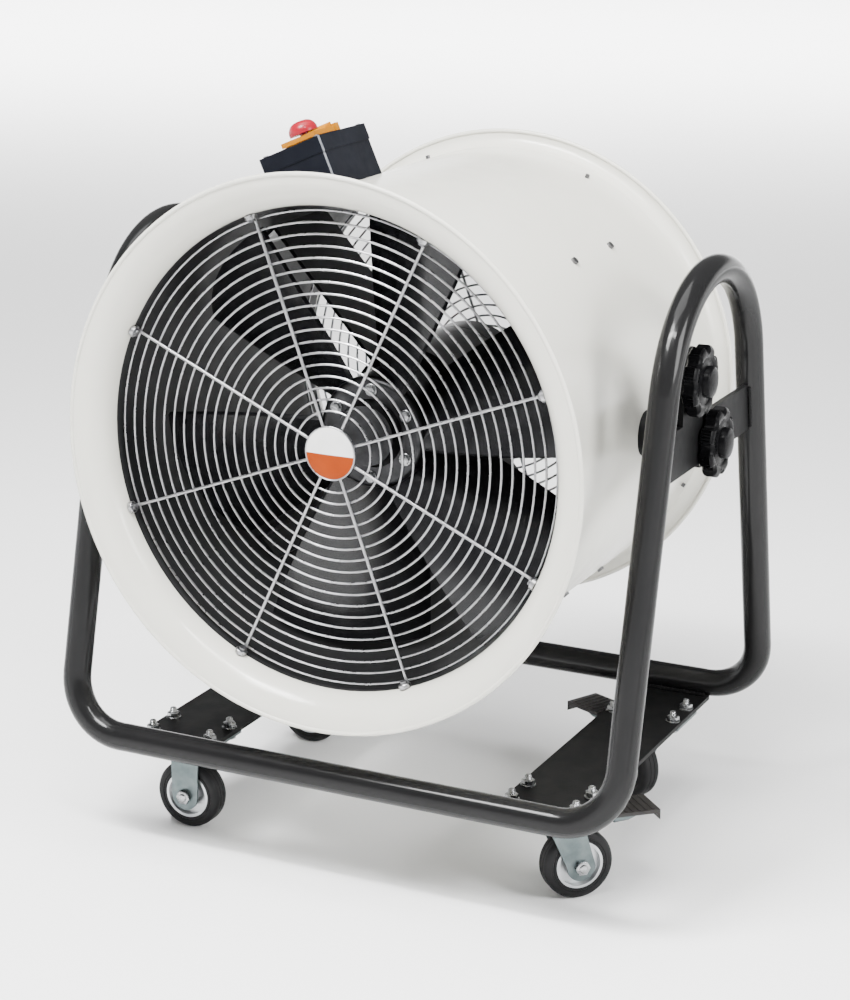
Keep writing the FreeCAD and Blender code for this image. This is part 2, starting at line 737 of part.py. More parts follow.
for word, side, outward in (("left", -1, TO_LEFT), ("right", 1, TO_RIGHT)):
    pivot_plate(f"pivot_plate_{word}", side)
    quadrant(f"quadrant_{word}", QUADRANT_INSIDE if side > 0 else f"-{QUADRANT_OUTSIDE}")

    # Boss and stud on the drum: saddled to the drum's round wall
    boss = cylinder("pivot_boss_radius", QUADRANT_INSIDE, 0, 0, "drum_axis_height", outward)
    saddle = cylinder("throat_radius + drum_wall", "2 * throat_radius", 0, "-throat_radius",
                      "drum_axis_height", TO_BACK)
    stud = cylinder("pivot_stud_radius", f"{KNOB_INSIDE} + knob_height - throat_radius - 2 * drum_wall",
                    f"{side} * (throat_radius + 2 * drum_wall)", 0, "drum_axis_height", outward)
    part(fuse(cut(boss, saddle), stud), f"pivot_boss_{word}")

    head = f"({QUADRANT_INSIDE} - side_gap - lock_head_height)"
    bolt = stepped_pin(("lock_head_radius", "lock_head_height"),
                       ("lock_bolt_radius", f"{KNOB_INSIDE} + knob_height - {head} - lock_head_height"))
    place(bolt, f"{side} * {head}", "-lock_forward", "drum_axis_height + lock_rise", outward)
    part(bolt, f"lock_bolt_{word}")

    part(place(knob(), f"{side} * {KNOB_INSIDE}", 0, "drum_axis_height", outward), f"pivot_knob_{word}")
    lock_height = "drum_axis_height + lock_rise"
    lock_knob = place(knob(), f"{side} * {KNOB_INSIDE}", "-lock_forward", lock_height, outward)
    part(lock_knob, f"lock_knob_{word}")


# Drum: a rolled wall with a wide bellmouth in front and a small flare behind, drilled for its screws
def radial_pins(angle, count, height, *steps):
    """Screws that point outwards: (radius, from, to) steps along the drum's radius, repeated around it."""
    body = new_body()
    features = [pad(body, "YZ_Plane", f"({end}) - ({start})", ("circle", "0", height, radius), lift=start)
                for radius, start, end in steps]
    repeat_round(body, count, *features)
    return on_drum(body, angle)


OUTSIDE = "(throat_radius + drum_wall)"
SPOKE_ANGLE = "guard_turn"
EYELET_SEAT = "(throat_radius - eyelet_fit)"
EYELET_INSIDE = f"({EYELET_SEAT} - eyelet_height)"
SPOKE_LIFT = "(ring_wire_radius + spoke_wire_radius - weld_depth)"
EYELET_SHIFT = "(spoke_wire_radius + screw_head_radius + side_gap)"
FRONT_SPOKES = f"(front_guard_plane + {SPOKE_LIFT})"
FRONT_SCREW = f"({FRONT_SPOKES} + {EYELET_SHIFT})"
REAR_SCREW = f"(-rear_guard_plane - {SPOKE_LIFT} - {EYELET_SHIFT})"
FOOT_INSIDE = "(throat_radius - arm_thickness)"


def guard_screws(label, height):
    screws = radial_pins(SPOKE_ANGLE, "spoke_count", height,
                         ("screw_radius", EYELET_INSIDE, f"{OUTSIDE} + screw_end"),
                         ("screw_head_radius", f"{EYELET_INSIDE} - screw_head_height", EYELET_INSIDE))
    part(screws, label)


front_arc = "front_flare_radius"
rear_arc = "rear_flare_radius"
front_lip = f"throat_radius + {front_arc}"
rear_lip = f"throat_radius + {rear_arc}"
front_end = f"front_throat + {front_arc}"
rear_end = f"rear_throat + {rear_arc}"
wall = "drum_wall"
shell = turned([
    ("throat_radius", "-rear_throat"), ("throat_radius", "front_throat", front_arc, -1),
    (front_lip, front_end), (f"{front_lip} + lip_height", front_end),
    (f"{front_lip} + lip_height", f"{front_end} - {wall}"),
    (front_lip, f"{front_end} - {wall}", f"{front_arc} - {wall}", 1),
    (OUTSIDE, "front_throat"), (OUTSIDE, "-rear_throat", f"{rear_arc} - {wall}", 1),
    (rear_lip, f"{wall} - ({rear_end})"), (f"{rear_lip} + lip_height", f"{wall} - ({rear_end})"),
    (f"{rear_lip} + lip_height", f"-({rear_end})"), (rear_lip, f"-({rear_end})", rear_arc, -1),
])
on_drum(shell)
through = ("screw_radius", EYELET_INSIDE, f"{OUTSIDE} + screw_end")
drills = [radial_pins(SPOKE_ANGLE, "spoke_count", FRONT_SCREW, through),
          radial_pins(SPOKE_ANGLE, "spoke_count", REAR_SCREW, through),
          radial_pins("45", "4", "arm_front_screw", through),
          radial_pins("45", "4", "-arm_rear_screw", through)]
part(cut(shell, fuse(*drills)), "drum_shell")
guard_screws("front_grille_screws", FRONT_SCREW)
guard_screws("rear_grille_screws", REAR_SCREW)


# Wire guards: rings welded behind the spokes, whose ends carry eyelets on the drum wall
def guard(label, plane, side):
    body = new_body()
    spoke_plane = f"({side} * ({plane} + {SPOKE_LIFT}))"
    rings = [("circle", f"outer_ring_radius - {i} * ring_pitch", f"{side} * {plane}", "ring_wire_radius")
             for i in range(int(number("ring_count")))]
    revolve(body, *rings)
    spoke = pad(body, "YZ_Plane", f"{EYELET_SEAT} - spoke_inner_radius",
                ("circle", "0", spoke_plane, "spoke_wire_radius"), lift="spoke_inner_radius")
    screw = f"{side} * ({plane} + {SPOKE_LIFT} + {EYELET_SHIFT})"
    eyelet = pad(body, "YZ_Plane", "eyelet_height", ("circle", "0", screw, "eyelet_radius"),
                 ("circle", "0", screw, "screw_radius"), lift=EYELET_INSIDE)
    repeat_round(body, "spoke_count", spoke, eyelet)
    disc = pad(body, "XY_Plane", "guard_disc_thickness", ("circle", "0", "0", "guard_disc_radius"),
               lift=f"{spoke_plane} - guard_disc_thickness / 2")
    body.Tip = disc
    part(on_drum(body, SPOKE_ANGLE), label)


guard("front_grille", "front_guard_plane", 1)
guard("rear_grille", "rear_guard_plane", -1)

# Badge: a plain domed disc on the middle of the front guard
badge_back = f"{FRONT_SPOKES} + spoke_wire_radius"
badge_face = f"{badge_back} + badge_thickness"
badge = turned([("0", badge_back), ("badge_radius", badge_back), ("badge_radius", f"{badge_face} - badge_edge"),
                ("badge_radius - badge_slope", badge_face), ("0", badge_face)])
part(on_drum(badge), "badge")

# Motor: a plain housing with a cowl behind and a nose with the shaft's bore in front
bore = "shaft_radius + running_fit"
motor = turned([
    ("0", "-motor_back - motor_cowl_length"),
    ("motor_cowl_radius - motor_cowl_edge", "-motor_back - motor_cowl_length"),
    ("motor_cowl_radius", "-motor_back - motor_cowl_length + motor_cowl_edge"),
    ("motor_cowl_radius", "-motor_back - arm_margin"),
    ("motor_radius", "-motor_back - arm_margin"), ("motor_radius", "motor_front"),
    ("motor_nose_radius", "motor_front"), ("motor_nose_radius", "motor_front + motor_nose_length"),
    (bore, "motor_front + motor_nose_length"), (bore, "motor_front + motor_nose_length - shaft_depth"),
    ("0", "motor_front + motor_nose_length - shaft_depth"),
])
part(on_drum(motor), "motor")

# Motor carrier: a clamp tube round the housing and four plates with feet on the drum's inside
arm_low = "(-arm_rear_screw - arm_margin)"
arm_long = "(arm_front_screw + arm_rear_screw + 2 * arm_margin)"
clamp_outside = cylinder("motor_radius + cradle_wall", arm_long, z=arm_low)
clamp = cut(clamp_outside, cylinder("motor_radius", arm_long, z=arm_low))
arms = []
feet = []
foot_offset = number("atan((arm_foot_width - arm_thickness) / 2 / throat_radius) / 1 deg")
for quarter in range(4):
    spin = FreeCAD.Rotation(V(0, 0, 1), 90 * quarter + 45 - foot_offset)
    plate = new_body()
    pad(plate, "XY_Plane", arm_long, [
        ("motor_radius + cradle_wall / 2", "-arm_thickness / 2"),
        (f"{FOOT_INSIDE} + arm_overlap", "-arm_thickness / 2"),
        (f"{FOOT_INSIDE} + arm_overlap", "arm_thickness / 2"),
        ("motor_radius + cradle_wall / 2", "arm_thickness / 2")])
    arms.append(place(plate, z=arm_low, turn=spin))
    foot = new_body()
    pad(foot, "XY_Plane", arm_long, [
        (f"{FOOT_INSIDE} - foot_margin", "-arm_thickness / 2"),
        ("throat_radius + foot_margin", "-arm_thickness / 2"),
        ("throat_radius + foot_margin", "arm_foot_width - arm_thickness / 2"),
        (f"{FOOT_INSIDE} - foot_margin", "arm_foot_width - arm_thickness / 2")])
    feet.append(place(foot, z=arm_low, turn=spin))
ring = cut(cylinder("throat_radius", arm_long, z=arm_low), cylinder(FOOT_INSIDE, arm_long, z=arm_low))
carrier = fuse(clamp, *arms, common(fuse(*feet), ring))
part(cut(on_drum(carrier), fuse(*drills[2:])), "motor_bracket")

# Impeller: shaft, moulded hub with a metal nose, and six twisted blades trimmed to the hub and tip radius
shaft_start = "(motor_front + motor_nose_length - shaft_depth + side_gap)"
shaft = turned([("0", shaft_start), ("shaft_radius", shaft_start),
                ("shaft_radius", "hub_front"), ("0", "hub_front")])
part(on_drum(shaft), "motor_shaft")
hub = turned([
    ("shaft_radius", "hub_back"), ("impeller_hub_radius", "hub_back"),
    ("impeller_hub_radius", "hub_front - hub_edge", "hub_edge", 1),
    ("impeller_hub_radius - hub_edge", "hub_front"),
    ("hub_cap_radius", "hub_front"), ("hub_cap_radius - hub_cap_taper", "hub_front + hub_cap_length"),
    ("0", "hub_front + hub_cap_length"), ("0", "hub_front"), ("shaft_radius", "hub_front"),
])
part(on_drum(hub), "impeller_hub")


def blade_section(body, radius, chord, pitch):
    """A bowed strip across the blade at one radius, set at its pitch angle."""
    reach = f"{chord} / 2 * cos({pitch})"
    rise = f"{chord} / 2 * sin({pitch})"
    over = f"blade_thickness * sin({pitch})"
    up = f"blade_thickness * cos({pitch})"
    middle = "blade_middle"
    corners = [(f"-{reach}", f"{middle} - {rise}", "blade_bow", -1), (reach, f"{middle} + {rise}"),
               (f"{reach} - {over}", f"{middle} + {rise} + {up}", "blade_bow", 1),
               (f"-({reach}) - {over}", f"{middle} - {rise} + {up}")]
    return draw(body, "XZ_Plane", corners, lift=f"-({radius})")


blades = new_body()
root = blade_section(blades, "impeller_hub_radius * blade_root_share", "root_chord", "root_pitch")
middle_section = blade_section(blades, "(impeller_hub_radius + blade_tip_radius) / 2", "mid_chord", "mid_pitch")
tip = blade_section(blades, "blade_tip_radius * blade_tip_share", "tip_chord", "tip_pitch")
loft = blades.newObject("PartDesign::AdditiveLoft", "blade")
loft.Profile = root
loft.Sections = [middle_section, tip]
repeat_round(blades, "blade_count", loft)
sweep = cut(cylinder("blade_tip_radius", "2 * hub_front"), cylinder("impeller_hub_radius", "2 * hub_front"))
part(on_drum(common(blades, sweep), "blade_turn"), "impeller_blades")

# Screws of the motor carrier, in two rings of four with their heads outside the drum
for_arm = ("screw_radius", FOOT_INSIDE, OUTSIDE)
arm_head = ("screw_head_radius", OUTSIDE, f"{OUTSIDE} + screw_head_height")
screws = fuse(radial_pins("45", "4", "arm_front_screw", for_arm, arm_head),
              radial_pins("45", "4", "-arm_rear_screw", for_arm, arm_head))
part(screws, "motor_screws")

# Switch box on top of the drum: a base saddled to the wall, a lid, and the emergency switch on the lid.
# It is made with x across, y out from the drum's axis and z forward, then turned about that axis.
BOX_MIDDLE = "((box_front - box_back) / 2)"
BOX_LONG = "(box_front + box_back)"
BOX_FACE = f"({OUTSIDE} + box_top)"
LID_UNDER = f"({BOX_FACE} - lid_height)"


def upright_pad(low, high, *loops):
    """A body drawn across the drum's radius, x by z, between two radii."""
    body = new_body()
    pad(body, "XZ_Plane", f"({high}) - ({low})", *loops, lift=f"-({high})")
    return body


def shifted(width, length, middle_z):
    half = f"({width}) / 2"
    long_half = f"({length}) / 2"
    return [(f"-{half}", f"{middle_z} - {long_half}"), (half, f"{middle_z} - {long_half}"),
            (half, f"{middle_z} + {long_half}"), (f"-{half}", f"{middle_z} + {long_half}")]


def rounded(width, length, middle_z, corner):
    half = f"({width}) / 2"
    low = f"{middle_z} - ({length}) / 2"
    high = f"{middle_z} + ({length}) / 2"
    return [(f"-{half}", f"{low} + {corner}", corner, 1), (f"{corner} - {half}", low),
            (f"{half} - {corner}", low, corner, 1), (half, f"{low} + {corner}"),
            (half, f"{high} - {corner}", corner, 1), (f"{half} - {corner}", high),
            (f"{corner} - {half}", high, corner, 1), (f"-{half}", f"{high} - {corner}")]


def on_box(item, label):
    return part(on_drum(item, "switch_turn"), label)


gland_axis = f"({OUTSIDE} + gland_height)"
box_outline = rounded("box_width", BOX_LONG, BOX_MIDDLE, "box_corner")
base = upright_pad("throat_radius - foot_margin", LID_UNDER, box_outline)
saddle = cylinder(OUTSIDE, "2 * throat_radius", z="-throat_radius")
gland_hole = cylinder("gland_thread_radius", "gland_thread_radius * 2", 0, gland_axis, "-box_back")
on_box(cut(cut(base, saddle), gland_hole), "switch_box")
lid_long = f"({BOX_LONG} + 2 * lid_lip)"
lid = upright_pad(LID_UNDER, BOX_FACE, rounded("box_width + 2 * lid_lip", lid_long, BOX_MIDDLE, "box_corner"))
rear_edge = f"({BOX_MIDDLE} - switch_length / 2)"
well_gap = "2 * side_gap"
wells = [shifted(f"button_width + {well_gap}", f"button_length + {well_gap}", f"{rear_edge} + {middle}")
         for middle in ("start_place", "stop_place")]
well_cuts = upright_pad(f"{BOX_FACE} - button_well", f"{BOX_FACE} + switch_thickness", *wells)
on_box(cut(lid, well_cuts), "switch_lid")

# Mains inlet: a cable gland screwed into the back of the box
gland = turned([("gland_bore", "0"), ("gland_radius", "0"), ("gland_radius", "gland_length - gland_nose"),
                ("gland_radius - gland_taper", "gland_length"), ("gland_bore", "gland_length")])
thread = turned([("gland_bore", "0"), ("gland_thread_radius", "0"),
                 ("gland_thread_radius", "gland_thread_radius"),
                 ("gland_bore", "gland_thread_radius")])
place(gland, 0, gland_axis, "-box_back", FreeCAD.Rotation(V(1, 0, 0), 180))
place(thread, 0, gland_axis, "-box_back")
on_box(fuse(gland, thread), "cable_gland")

# Switch plate with two wells for the buttons and two ears for the flap's pin
plate_top = f"({BOX_FACE} + switch_thickness)"
hinge_z = f"({rear_edge} + hinge_inset)"
hinge_y = f"({plate_top} + flap_hinge_height)"
plate_outline = rounded("switch_width", "switch_length", BOX_MIDDLE, "box_corner")
frame_plate = upright_pad(BOX_FACE, plate_top, plate_outline, *wells)
ear_inside = "(switch_width / 2 - hinge_ear_width)"
ears = []
for side in (-1, 1):
    ear = box("hinge_ear_width", "flap_hinge_height + flap_barrel_radius", "2 * flap_barrel_radius",
              f"{side} * (switch_width - hinge_ear_width) / 2",
              f"{plate_top} + (flap_hinge_height + flap_barrel_radius) / 2", f"{hinge_z} - flap_barrel_radius")
    ears.append(ear)
hinge_pin = cylinder("flap_pin_radius", f"2 * {ear_inside}", f"-{ear_inside}", hinge_y, hinge_z,
                     FreeCAD.Rotation(V(0, 1, 0), 90))
on_box(fuse(frame_plate, *ears, hinge_pin), "switch_plate")

# Start and stop buttons in the wells of plate and lid, with room to travel
for label, middle in (("start_button", "start_place"), ("stop_button", "stop_place")):
    button = upright_pad(f"{BOX_FACE} - button_well + button_travel + side_gap", f"{plate_top} + button_rise",
                         shifted("button_width", "button_length", f"{rear_edge} + {middle}"))
    on_box(button, label)

# Emergency flap: a cover over both buttons, hinged at the back, with a hole for the mushroom's stem
flap_width = "(switch_width - 2 * flap_side_gap)"
flap_back = f"({hinge_z} + flap_barrel_radius + side_gap)"
flap_front = f"({BOX_MIDDLE} + switch_length / 2 - flap_side_gap)"
flap_long = f"({flap_front} - {flap_back})"
flap_mid = f"(({flap_front} + {flap_back}) / 2)"
flap_face = f"({plate_top} + flap_top)"
cover = upright_pad(f"{plate_top} + 2 * side_gap", flap_face, shifted(flap_width, flap_long, flap_mid))
hollow = upright_pad(plate_top, f"{flap_face} - flap_wall",
                     shifted(f"{flap_width} - 2 * flap_wall", flap_long, f"{flap_mid} - flap_wall"))
barrel_half = f"({ear_inside} - side_gap)"
barrel = cylinder("flap_barrel_radius", f"2 * {barrel_half}", f"-{barrel_half}", hinge_y, hinge_z,
                  FreeCAD.Rotation(V(0, 1, 0), 90))
web_long = f"{flap_back} - {hinge_z} + flap_wall"
web = box(f"2 * {barrel_half}", "flap_wall", web_long, 0, f"{flap_face} - flap_wall / 2", hinge_z)
ear_room = "((flap_hinge_height ^ 2 + flap_barrel_radius ^ 2) ^ 0.5 + side_gap)"
ear_gaps = [cylinder(ear_room, "switch_width", start, hinge_y, hinge_z, FreeCAD.Rotation(V(0, 1, 0), 90))
            for start in (barrel_half, f"-{barrel_half} - switch_width")]
pin_hole = cylinder("flap_pin_radius + running_fit", f"2 * {barrel_half}", f"-{barrel_half}", hinge_y, hinge_z,
                    FreeCAD.Rotation(V(0, 1, 0), 90))
stem_z = f"({rear_edge} + stop_place)"
stem_hole = cylinder("mushroom_stem_radius + running_fit", "box_top", 0, plate_top, stem_z, TO_BACK)
shell_only = cut(cut(cover, hollow), fuse(*ear_gaps))
flap = cut(cut(fuse(shell_only, barrel, web), pin_hole), stem_hole)
on_box(flap, "switch_flap")

# Mushroom head: a domed cap on a stem through the flap
cap_under = f"({flap_face} + mushroom_travel + side_gap)"
stem_low = f"({plate_top} + button_rise + mushroom_travel + side_gap)"
mushroom = turned([
    ("0", stem_low), ("mushroom_stem_radius", stem_low), ("mushroom_stem_radius", cap_under),
    ("mushroom_radius", cap_under),
    ("mushroom_radius", f"{cap_under} + mushroom_height - mushroom_dome", "mushroom_dome", 1),
    ("mushroom_radius - mushroom_dome", f"{cap_under} + mushroom_height"),
    ("0", f"{cap_under} + mushroom_height"),
])
BOX_TURN = TO_FRONT * FreeCAD.Rotation(V(0, 0, 1), number("switch_turn"))
place(mushroom, 0, f"-{stem_z}", "drum_axis_height", BOX_TURN * TO_BACK)
part(mushroom, "stop_mushroom")

doc.recompute()

for item in doc.Objects:
    if "Invalid" in item.State or "Error" in item.State:
        raise RuntimeError(f"{item.Name} {item.Label}: {item.State}")
for item in PARTS:
    if item.Shape.isNull() or not item.Shape.isValid() or not item.Shape.Solids:
        raise RuntimeError(f"{item.Label} has no valid solid")

os.makedirs("parts", exist_ok=True)
for item in PARTS:
    item.Shape.exportStep(f"parts/{item.Label}.step")
print(len(PARTS), "sub-parts written")
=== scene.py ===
from math import asin, atan2, cos, hypot, pi, radians, sin, sqrt

import bmesh
import bpy
from mathutils import Matrix, Vector


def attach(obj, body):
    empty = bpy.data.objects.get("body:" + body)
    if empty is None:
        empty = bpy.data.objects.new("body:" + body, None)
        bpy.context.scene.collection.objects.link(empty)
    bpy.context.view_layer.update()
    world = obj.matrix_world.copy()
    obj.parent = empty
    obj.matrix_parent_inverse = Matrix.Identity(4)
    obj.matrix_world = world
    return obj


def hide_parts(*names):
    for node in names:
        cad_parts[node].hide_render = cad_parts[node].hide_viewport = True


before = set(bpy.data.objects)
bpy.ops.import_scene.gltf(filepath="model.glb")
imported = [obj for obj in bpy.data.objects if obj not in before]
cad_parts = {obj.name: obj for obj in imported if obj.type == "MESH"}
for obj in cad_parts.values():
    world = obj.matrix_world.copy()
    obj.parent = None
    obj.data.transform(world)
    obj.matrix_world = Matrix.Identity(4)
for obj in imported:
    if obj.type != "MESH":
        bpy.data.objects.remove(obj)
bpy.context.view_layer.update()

# Cradle: two bent loops and two straight rails of round steel tube, butt welded into one frame.
# The whole cradle has a dark grey baked powder coat, glossy, with a fine orange peel.
GRAIN_LOW = 0.3
GRAIN_HIGH = 0.7
SOFT_DETAIL = 3.0
FINE_DETAIL = 2.0
RELIEF = 0.5
PEEL = 0.00012
CLEAR_COAT = 0.08
finishes = {}


def new_finish(name):
    """A material with nodes, as its node tree and its shader."""
    finish = bpy.data.materials.new(name)
    finish.use_nodes = True
    finishes[name] = finish
    return finish.node_tree, finish.node_tree.nodes["Principled BSDF"]


def grain(tree, scale, detail=SOFT_DETAIL):
    """Noise in the piece's own metres."""
    place = tree.nodes.new("ShaderNodeTexCoord")
    noise = tree.nodes.new("ShaderNodeTexNoise")
    noise.inputs["Scale"].default_value = scale
    noise.inputs["Detail"].default_value = detail
    tree.links.new(place.outputs["Object"], noise.inputs["Vector"])
    return noise.outputs["Fac"]


def shade(tree, shader, dark, light, scale):
    """Base colour that wanders between two shades of one finish."""
    ramp = tree.nodes.new("ShaderNodeValToRGB")
    for stop, place, colour in zip(ramp.color_ramp.elements, (GRAIN_LOW, GRAIN_HIGH), (dark, light)):
        stop.position = place
        stop.color = (*colour, 1.0)
    tree.links.new(grain(tree, scale), ramp.inputs["Fac"])
    tree.links.new(ramp.outputs["Color"], shader.inputs["Base Color"])
    return ramp.outputs["Color"]


def set_range(node, low, high, first, last):
    """What a Map Range node takes in and what it gives out."""
    for socket, value in zip(("From Min", "From Max", "To Min", "To Max"), (low, high, first, last)):
        node.inputs[socket].default_value = value


def dull(tree, shader, smooth, rough, scale):
    """Roughness that wanders between two values."""
    spread = tree.nodes.new("ShaderNodeMapRange")
    set_range(spread, GRAIN_LOW, GRAIN_HIGH, smooth, rough)
    tree.links.new(grain(tree, scale), spread.inputs["Value"])
    tree.links.new(spread.outputs["Result"], shader.inputs["Roughness"])
    return spread.outputs["Result"]


def emboss(tree, shader, depth, scale):
    """Fine relief of a given depth in metres."""
    bump = tree.nodes.new("ShaderNodeBump")
    bump.inputs["Distance"].default_value = depth
    bump.inputs["Strength"].default_value = RELIEF
    tree.links.new(grain(tree, scale, FINE_DETAIL), bump.inputs["Height"])
    tree.links.new(bump.outputs["Normal"], shader.inputs["Normal"])


def powder_coat(name, dark, light, smooth, rough, gloss, glint):
    """Baked powder paint: slight clouding, fine orange peel and a thin clear gloss."""
    tree, shader = new_finish(name)
    shade(tree, shader, dark, light, scale=9.0)
    dull(tree, shader, smooth, rough, scale=40.0)
    emboss(tree, shader, PEEL, scale=420.0)
    shader.inputs["Coat Weight"].default_value = gloss
    shader.inputs["Coat Roughness"].default_value = CLEAR_COAT
    shader.inputs["Specular IOR Level"].default_value = glint


def wear(finish, *nodes):
    """Give CAD nodes their finish."""
    for node in nodes:
        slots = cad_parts[node].data.materials
        slots.clear()
        slots.append(finishes[finish])


powder_coat("cradle_grey", dark=(0.0062, 0.0062, 0.0064), light=(0.0086, 0.0086, 0.0088),
            smooth=0.2, rough=0.25, gloss=0.2, glint=0.06)
wear("cradle_grey", "side_loop_left", "side_loop_right", "front_rail", "rear_rail")

# Base plates: flat steel bars between the two rails, fillet welded along the tubes and drilled for the
# castors. They have the cradle's coat, a little rougher on the flat.
TUBE = 0.016
FRAME_DEPTH = 0.235
RAIL_Z = 0.131
CASTOR_X = 0.225
PLATE_TOP = 0.118
PLATE_HALF = 0.0475
FILLET = 0.0025
FILLET_RISE = 0.7 * FILLET
FILLET_SHORT = 0.004
RIPPLE = 0.14
RIPPLE_PITCH = 0.004
BEAD_STEP = 0.001
BEAD_SIDES = 8
SOFT_EDGE = 35.0


def new_piece(name, mesh_work, body, finish, crease=SOFT_EDGE):
    """Close a bmesh into a piece that rides on a body."""
    bmesh.ops.recalc_face_normals(mesh_work, faces=mesh_work.faces)
    mesh = bpy.data.meshes.new(name)
    mesh_work.to_mesh(mesh)
    mesh_work.free()
    mesh.shade_smooth()
    mesh.set_sharp_from_angle(angle=radians(crease))
    mesh.materials.append(finishes[finish])
    piece = bpy.data.objects.new(name, mesh)
    bpy.context.scene.collection.objects.link(piece)
    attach(piece, body)
    return piece


def skin(work, rings, closed_along=False):
    """Faces between equal rings of points; open ends get a cap."""
    rows = [[work.verts.new(point) for point in ring] for ring in rings]
    count = len(rows[0])
    pairs = list(zip(rows, rows[1:]))
    if closed_along:
        pairs.append((rows[-1], rows[0]))
    for low, high in pairs:
        for i in range(count):
            j = (i + 1) % count
            work.faces.new((low[i], low[j], high[j], high[i]))
    if not closed_along:
        work.faces.new(rows[0][::-1])
        work.faces.new(rows[-1])


def round_angles(count):
    """Equal angles once round."""
    return [2 * pi * i / count for i in range(count)]


def weld_bead(work, start, end, radius):
    """A rippled weld run along a straight joint."""
    length = (end - start).length
    along = (end - start).normalized()
    side = along.orthogonal().normalized()
    up = along.cross(side)
    count = round(length / BEAD_STEP)
    rings = []
    for i in range(count + 1):
        point = start.lerp(end, i / count)
        swell = radius * (1.0 + RIPPLE * sin(2 * pi * length * i / count / RIPPLE_PITCH))
        rings.append([point + (side * cos(a) + up * sin(a)) * swell for a in round_angles(BEAD_SIDES)])
    skin(work, rings)


powder_coat("plate_grey", dark=(0.0052, 0.0052, 0.0054), light=(0.0074, 0.0074, 0.0076),
            smooth=0.38, rough=0.48, gloss=0.0, glint=0.04)
wear("plate_grey", "base_plate_left", "base_plate_right")
welds = bmesh.new()
fillet_in = sqrt((TUBE + FILLET) ** 2 - (RAIL_Z - PLATE_TOP - FILLET_RISE) ** 2)
for x in (-CASTOR_X, CASTOR_X):
    for y in (fillet_in - FRAME_DEPTH, FRAME_DEPTH - fillet_in):
        half = PLATE_HALF - FILLET_SHORT
        start, end = [Vector((x + reach, y, PLATE_TOP + FILLET_RISE)) for reach in (-half, half)]
        weld_bead(welds, start, end, FILLET)
new_piece("plate_welds", welds, "frame", "plate_grey")

# Pivot plates: flat bars between the legs of each loop, each with a round tab for the lock bolt.
# They are cut to the tube, fillet welded on both faces and coated with the cradle.
LOOP_X = 0.331
CROWN_Z = 0.542
CROWN_RADIUS = 0.138
PIVOT_Z = 0.495
BAR_BELOW = 0.019
BAR_ABOVE = 0.034
BAR_FACE = 0.0045
BAR_BEAD = 0.002
BAR_BEAD_SHORT = 0.003
BAR_BEAD_OFF = 0.0004
wear("plate_grey", "pivot_plate_left", "pivot_plate_right")
leg_rise = CROWN_Z - RAIL_Z
lean = atan2(FRAME_DEPTH, leg_rise) - asin(CROWN_RADIUS / hypot(FRAME_DEPTH, leg_rise))
bead_ends = (PIVOT_Z - BAR_BELOW + BAR_BEAD_SHORT, PIVOT_Z + BAR_ABOVE - BAR_BEAD_SHORT)
welds = bmesh.new()
for x in (-LOOP_X, LOOP_X):
    for face in (-BAR_FACE, BAR_FACE):
        for side in (-1, 1):
            leg_up = Vector((0, -side * sin(lean), cos(lean)))
            inward = Vector((0, -side * cos(lean), -sin(lean)))
            foot = Vector((x + face, side * FRAME_DEPTH, RAIL_Z)) + inward * (TUBE + BAR_BEAD_OFF)
            start, end = [foot + leg_up * ((z - foot.z) / leg_up.z) for z in bead_ends]
            weld_bead(welds, start, end, BAR_BEAD)
new_piece("pivot_plate_welds", welds, "frame", "plate_grey")

# Castor bolts: sixteen zinc-plated hexagon bolts from below, each with a washer, a nut and a threaded end
# that stands above the base plate. Each nut is tightened to an angle of its own.
CASTOR_Y = 0.149
HOLE_X = 0.0375
HOLE_Y = 0.0225
BOLT_UNDER = 0.105
BOLT_RADIUS = 0.004
HEX_RADIUS = 0.0074
HEX_HEIGHT = 0.005
HEX_CHAMFER = 0.0008
HEX_SLOPE = 0.6
WASHER_RADIUS = 0.0085
WASHER = 0.0015
WASHER_BEVEL = 0.0004
WASHER_EDGE = 0.0003
THREAD_RISE = 0.006
THREAD_PITCH = 0.00125
THREAD_DEPTH = 0.0005
THREAD_TIP = 0.001
THREAD_DOME = ((THREAD_DEPTH, 0.0012), (0.0008, 0.0006))
TIP_FLAT = 0.55
TIP_DROP = 0.0001
NUT_TURN_X = 3700.0
NUT_TURN_Y = 5300.0
PIN_POINT = 1e-5
ROUND_SIDES = 32
SMALL_SIDES = 24
HEX_SIDES = 6


def zinc_plate(name, dark, light, smooth, rough):
    """Bright zinc: cool grey metal with a faint cloudy spangle and a fine grain."""
    tree, shader = new_finish(name)
    shade(tree, shader, dark, light, scale=70.0)
    dull(tree, shader, smooth, rough, scale=160.0)
    emboss(tree, shader, depth=0.00005, scale=900.0)
    shader.inputs["Metallic"].default_value = 1.0


def lathe(work, profile, at, sides=ROUND_SIDES):
    """Turn a profile of (radius, height) round the z axis of a place."""
    open_profile = [(max(radius, PIN_POINT), height) for radius, height in profile]
    skin(work, [[at @ Vector((radius * cos(a), radius * sin(a), height)) for a in round_angles(sides)]
                for radius, height in open_profile])


def hexagon(work, radius, low, high, at):
    """A hexagon nut or head with its corners turned off at both ends."""
    slope = HEX_CHAMFER * HEX_SLOPE
    lathe(work, [(radius - HEX_CHAMFER, low), (radius, low + slope), (radius, high - slope),
                 (radius - HEX_CHAMFER, high)], at, HEX_SIDES)


def thread(radius, low, high):
    """Profile of a threaded end with a domed tip."""
    profile = []
    for i in range(int((high - low - THREAD_TIP) / THREAD_PITCH)):
        root = low + i * THREAD_PITCH
        profile += [(radius - THREAD_DEPTH, root), (radius, root + THREAD_PITCH / 2)]
    profile += [(radius - inset, high - drop) for inset, drop in THREAD_DOME]
    return profile + [(radius * TIP_FLAT, high - TIP_DROP), (0.0, high)]


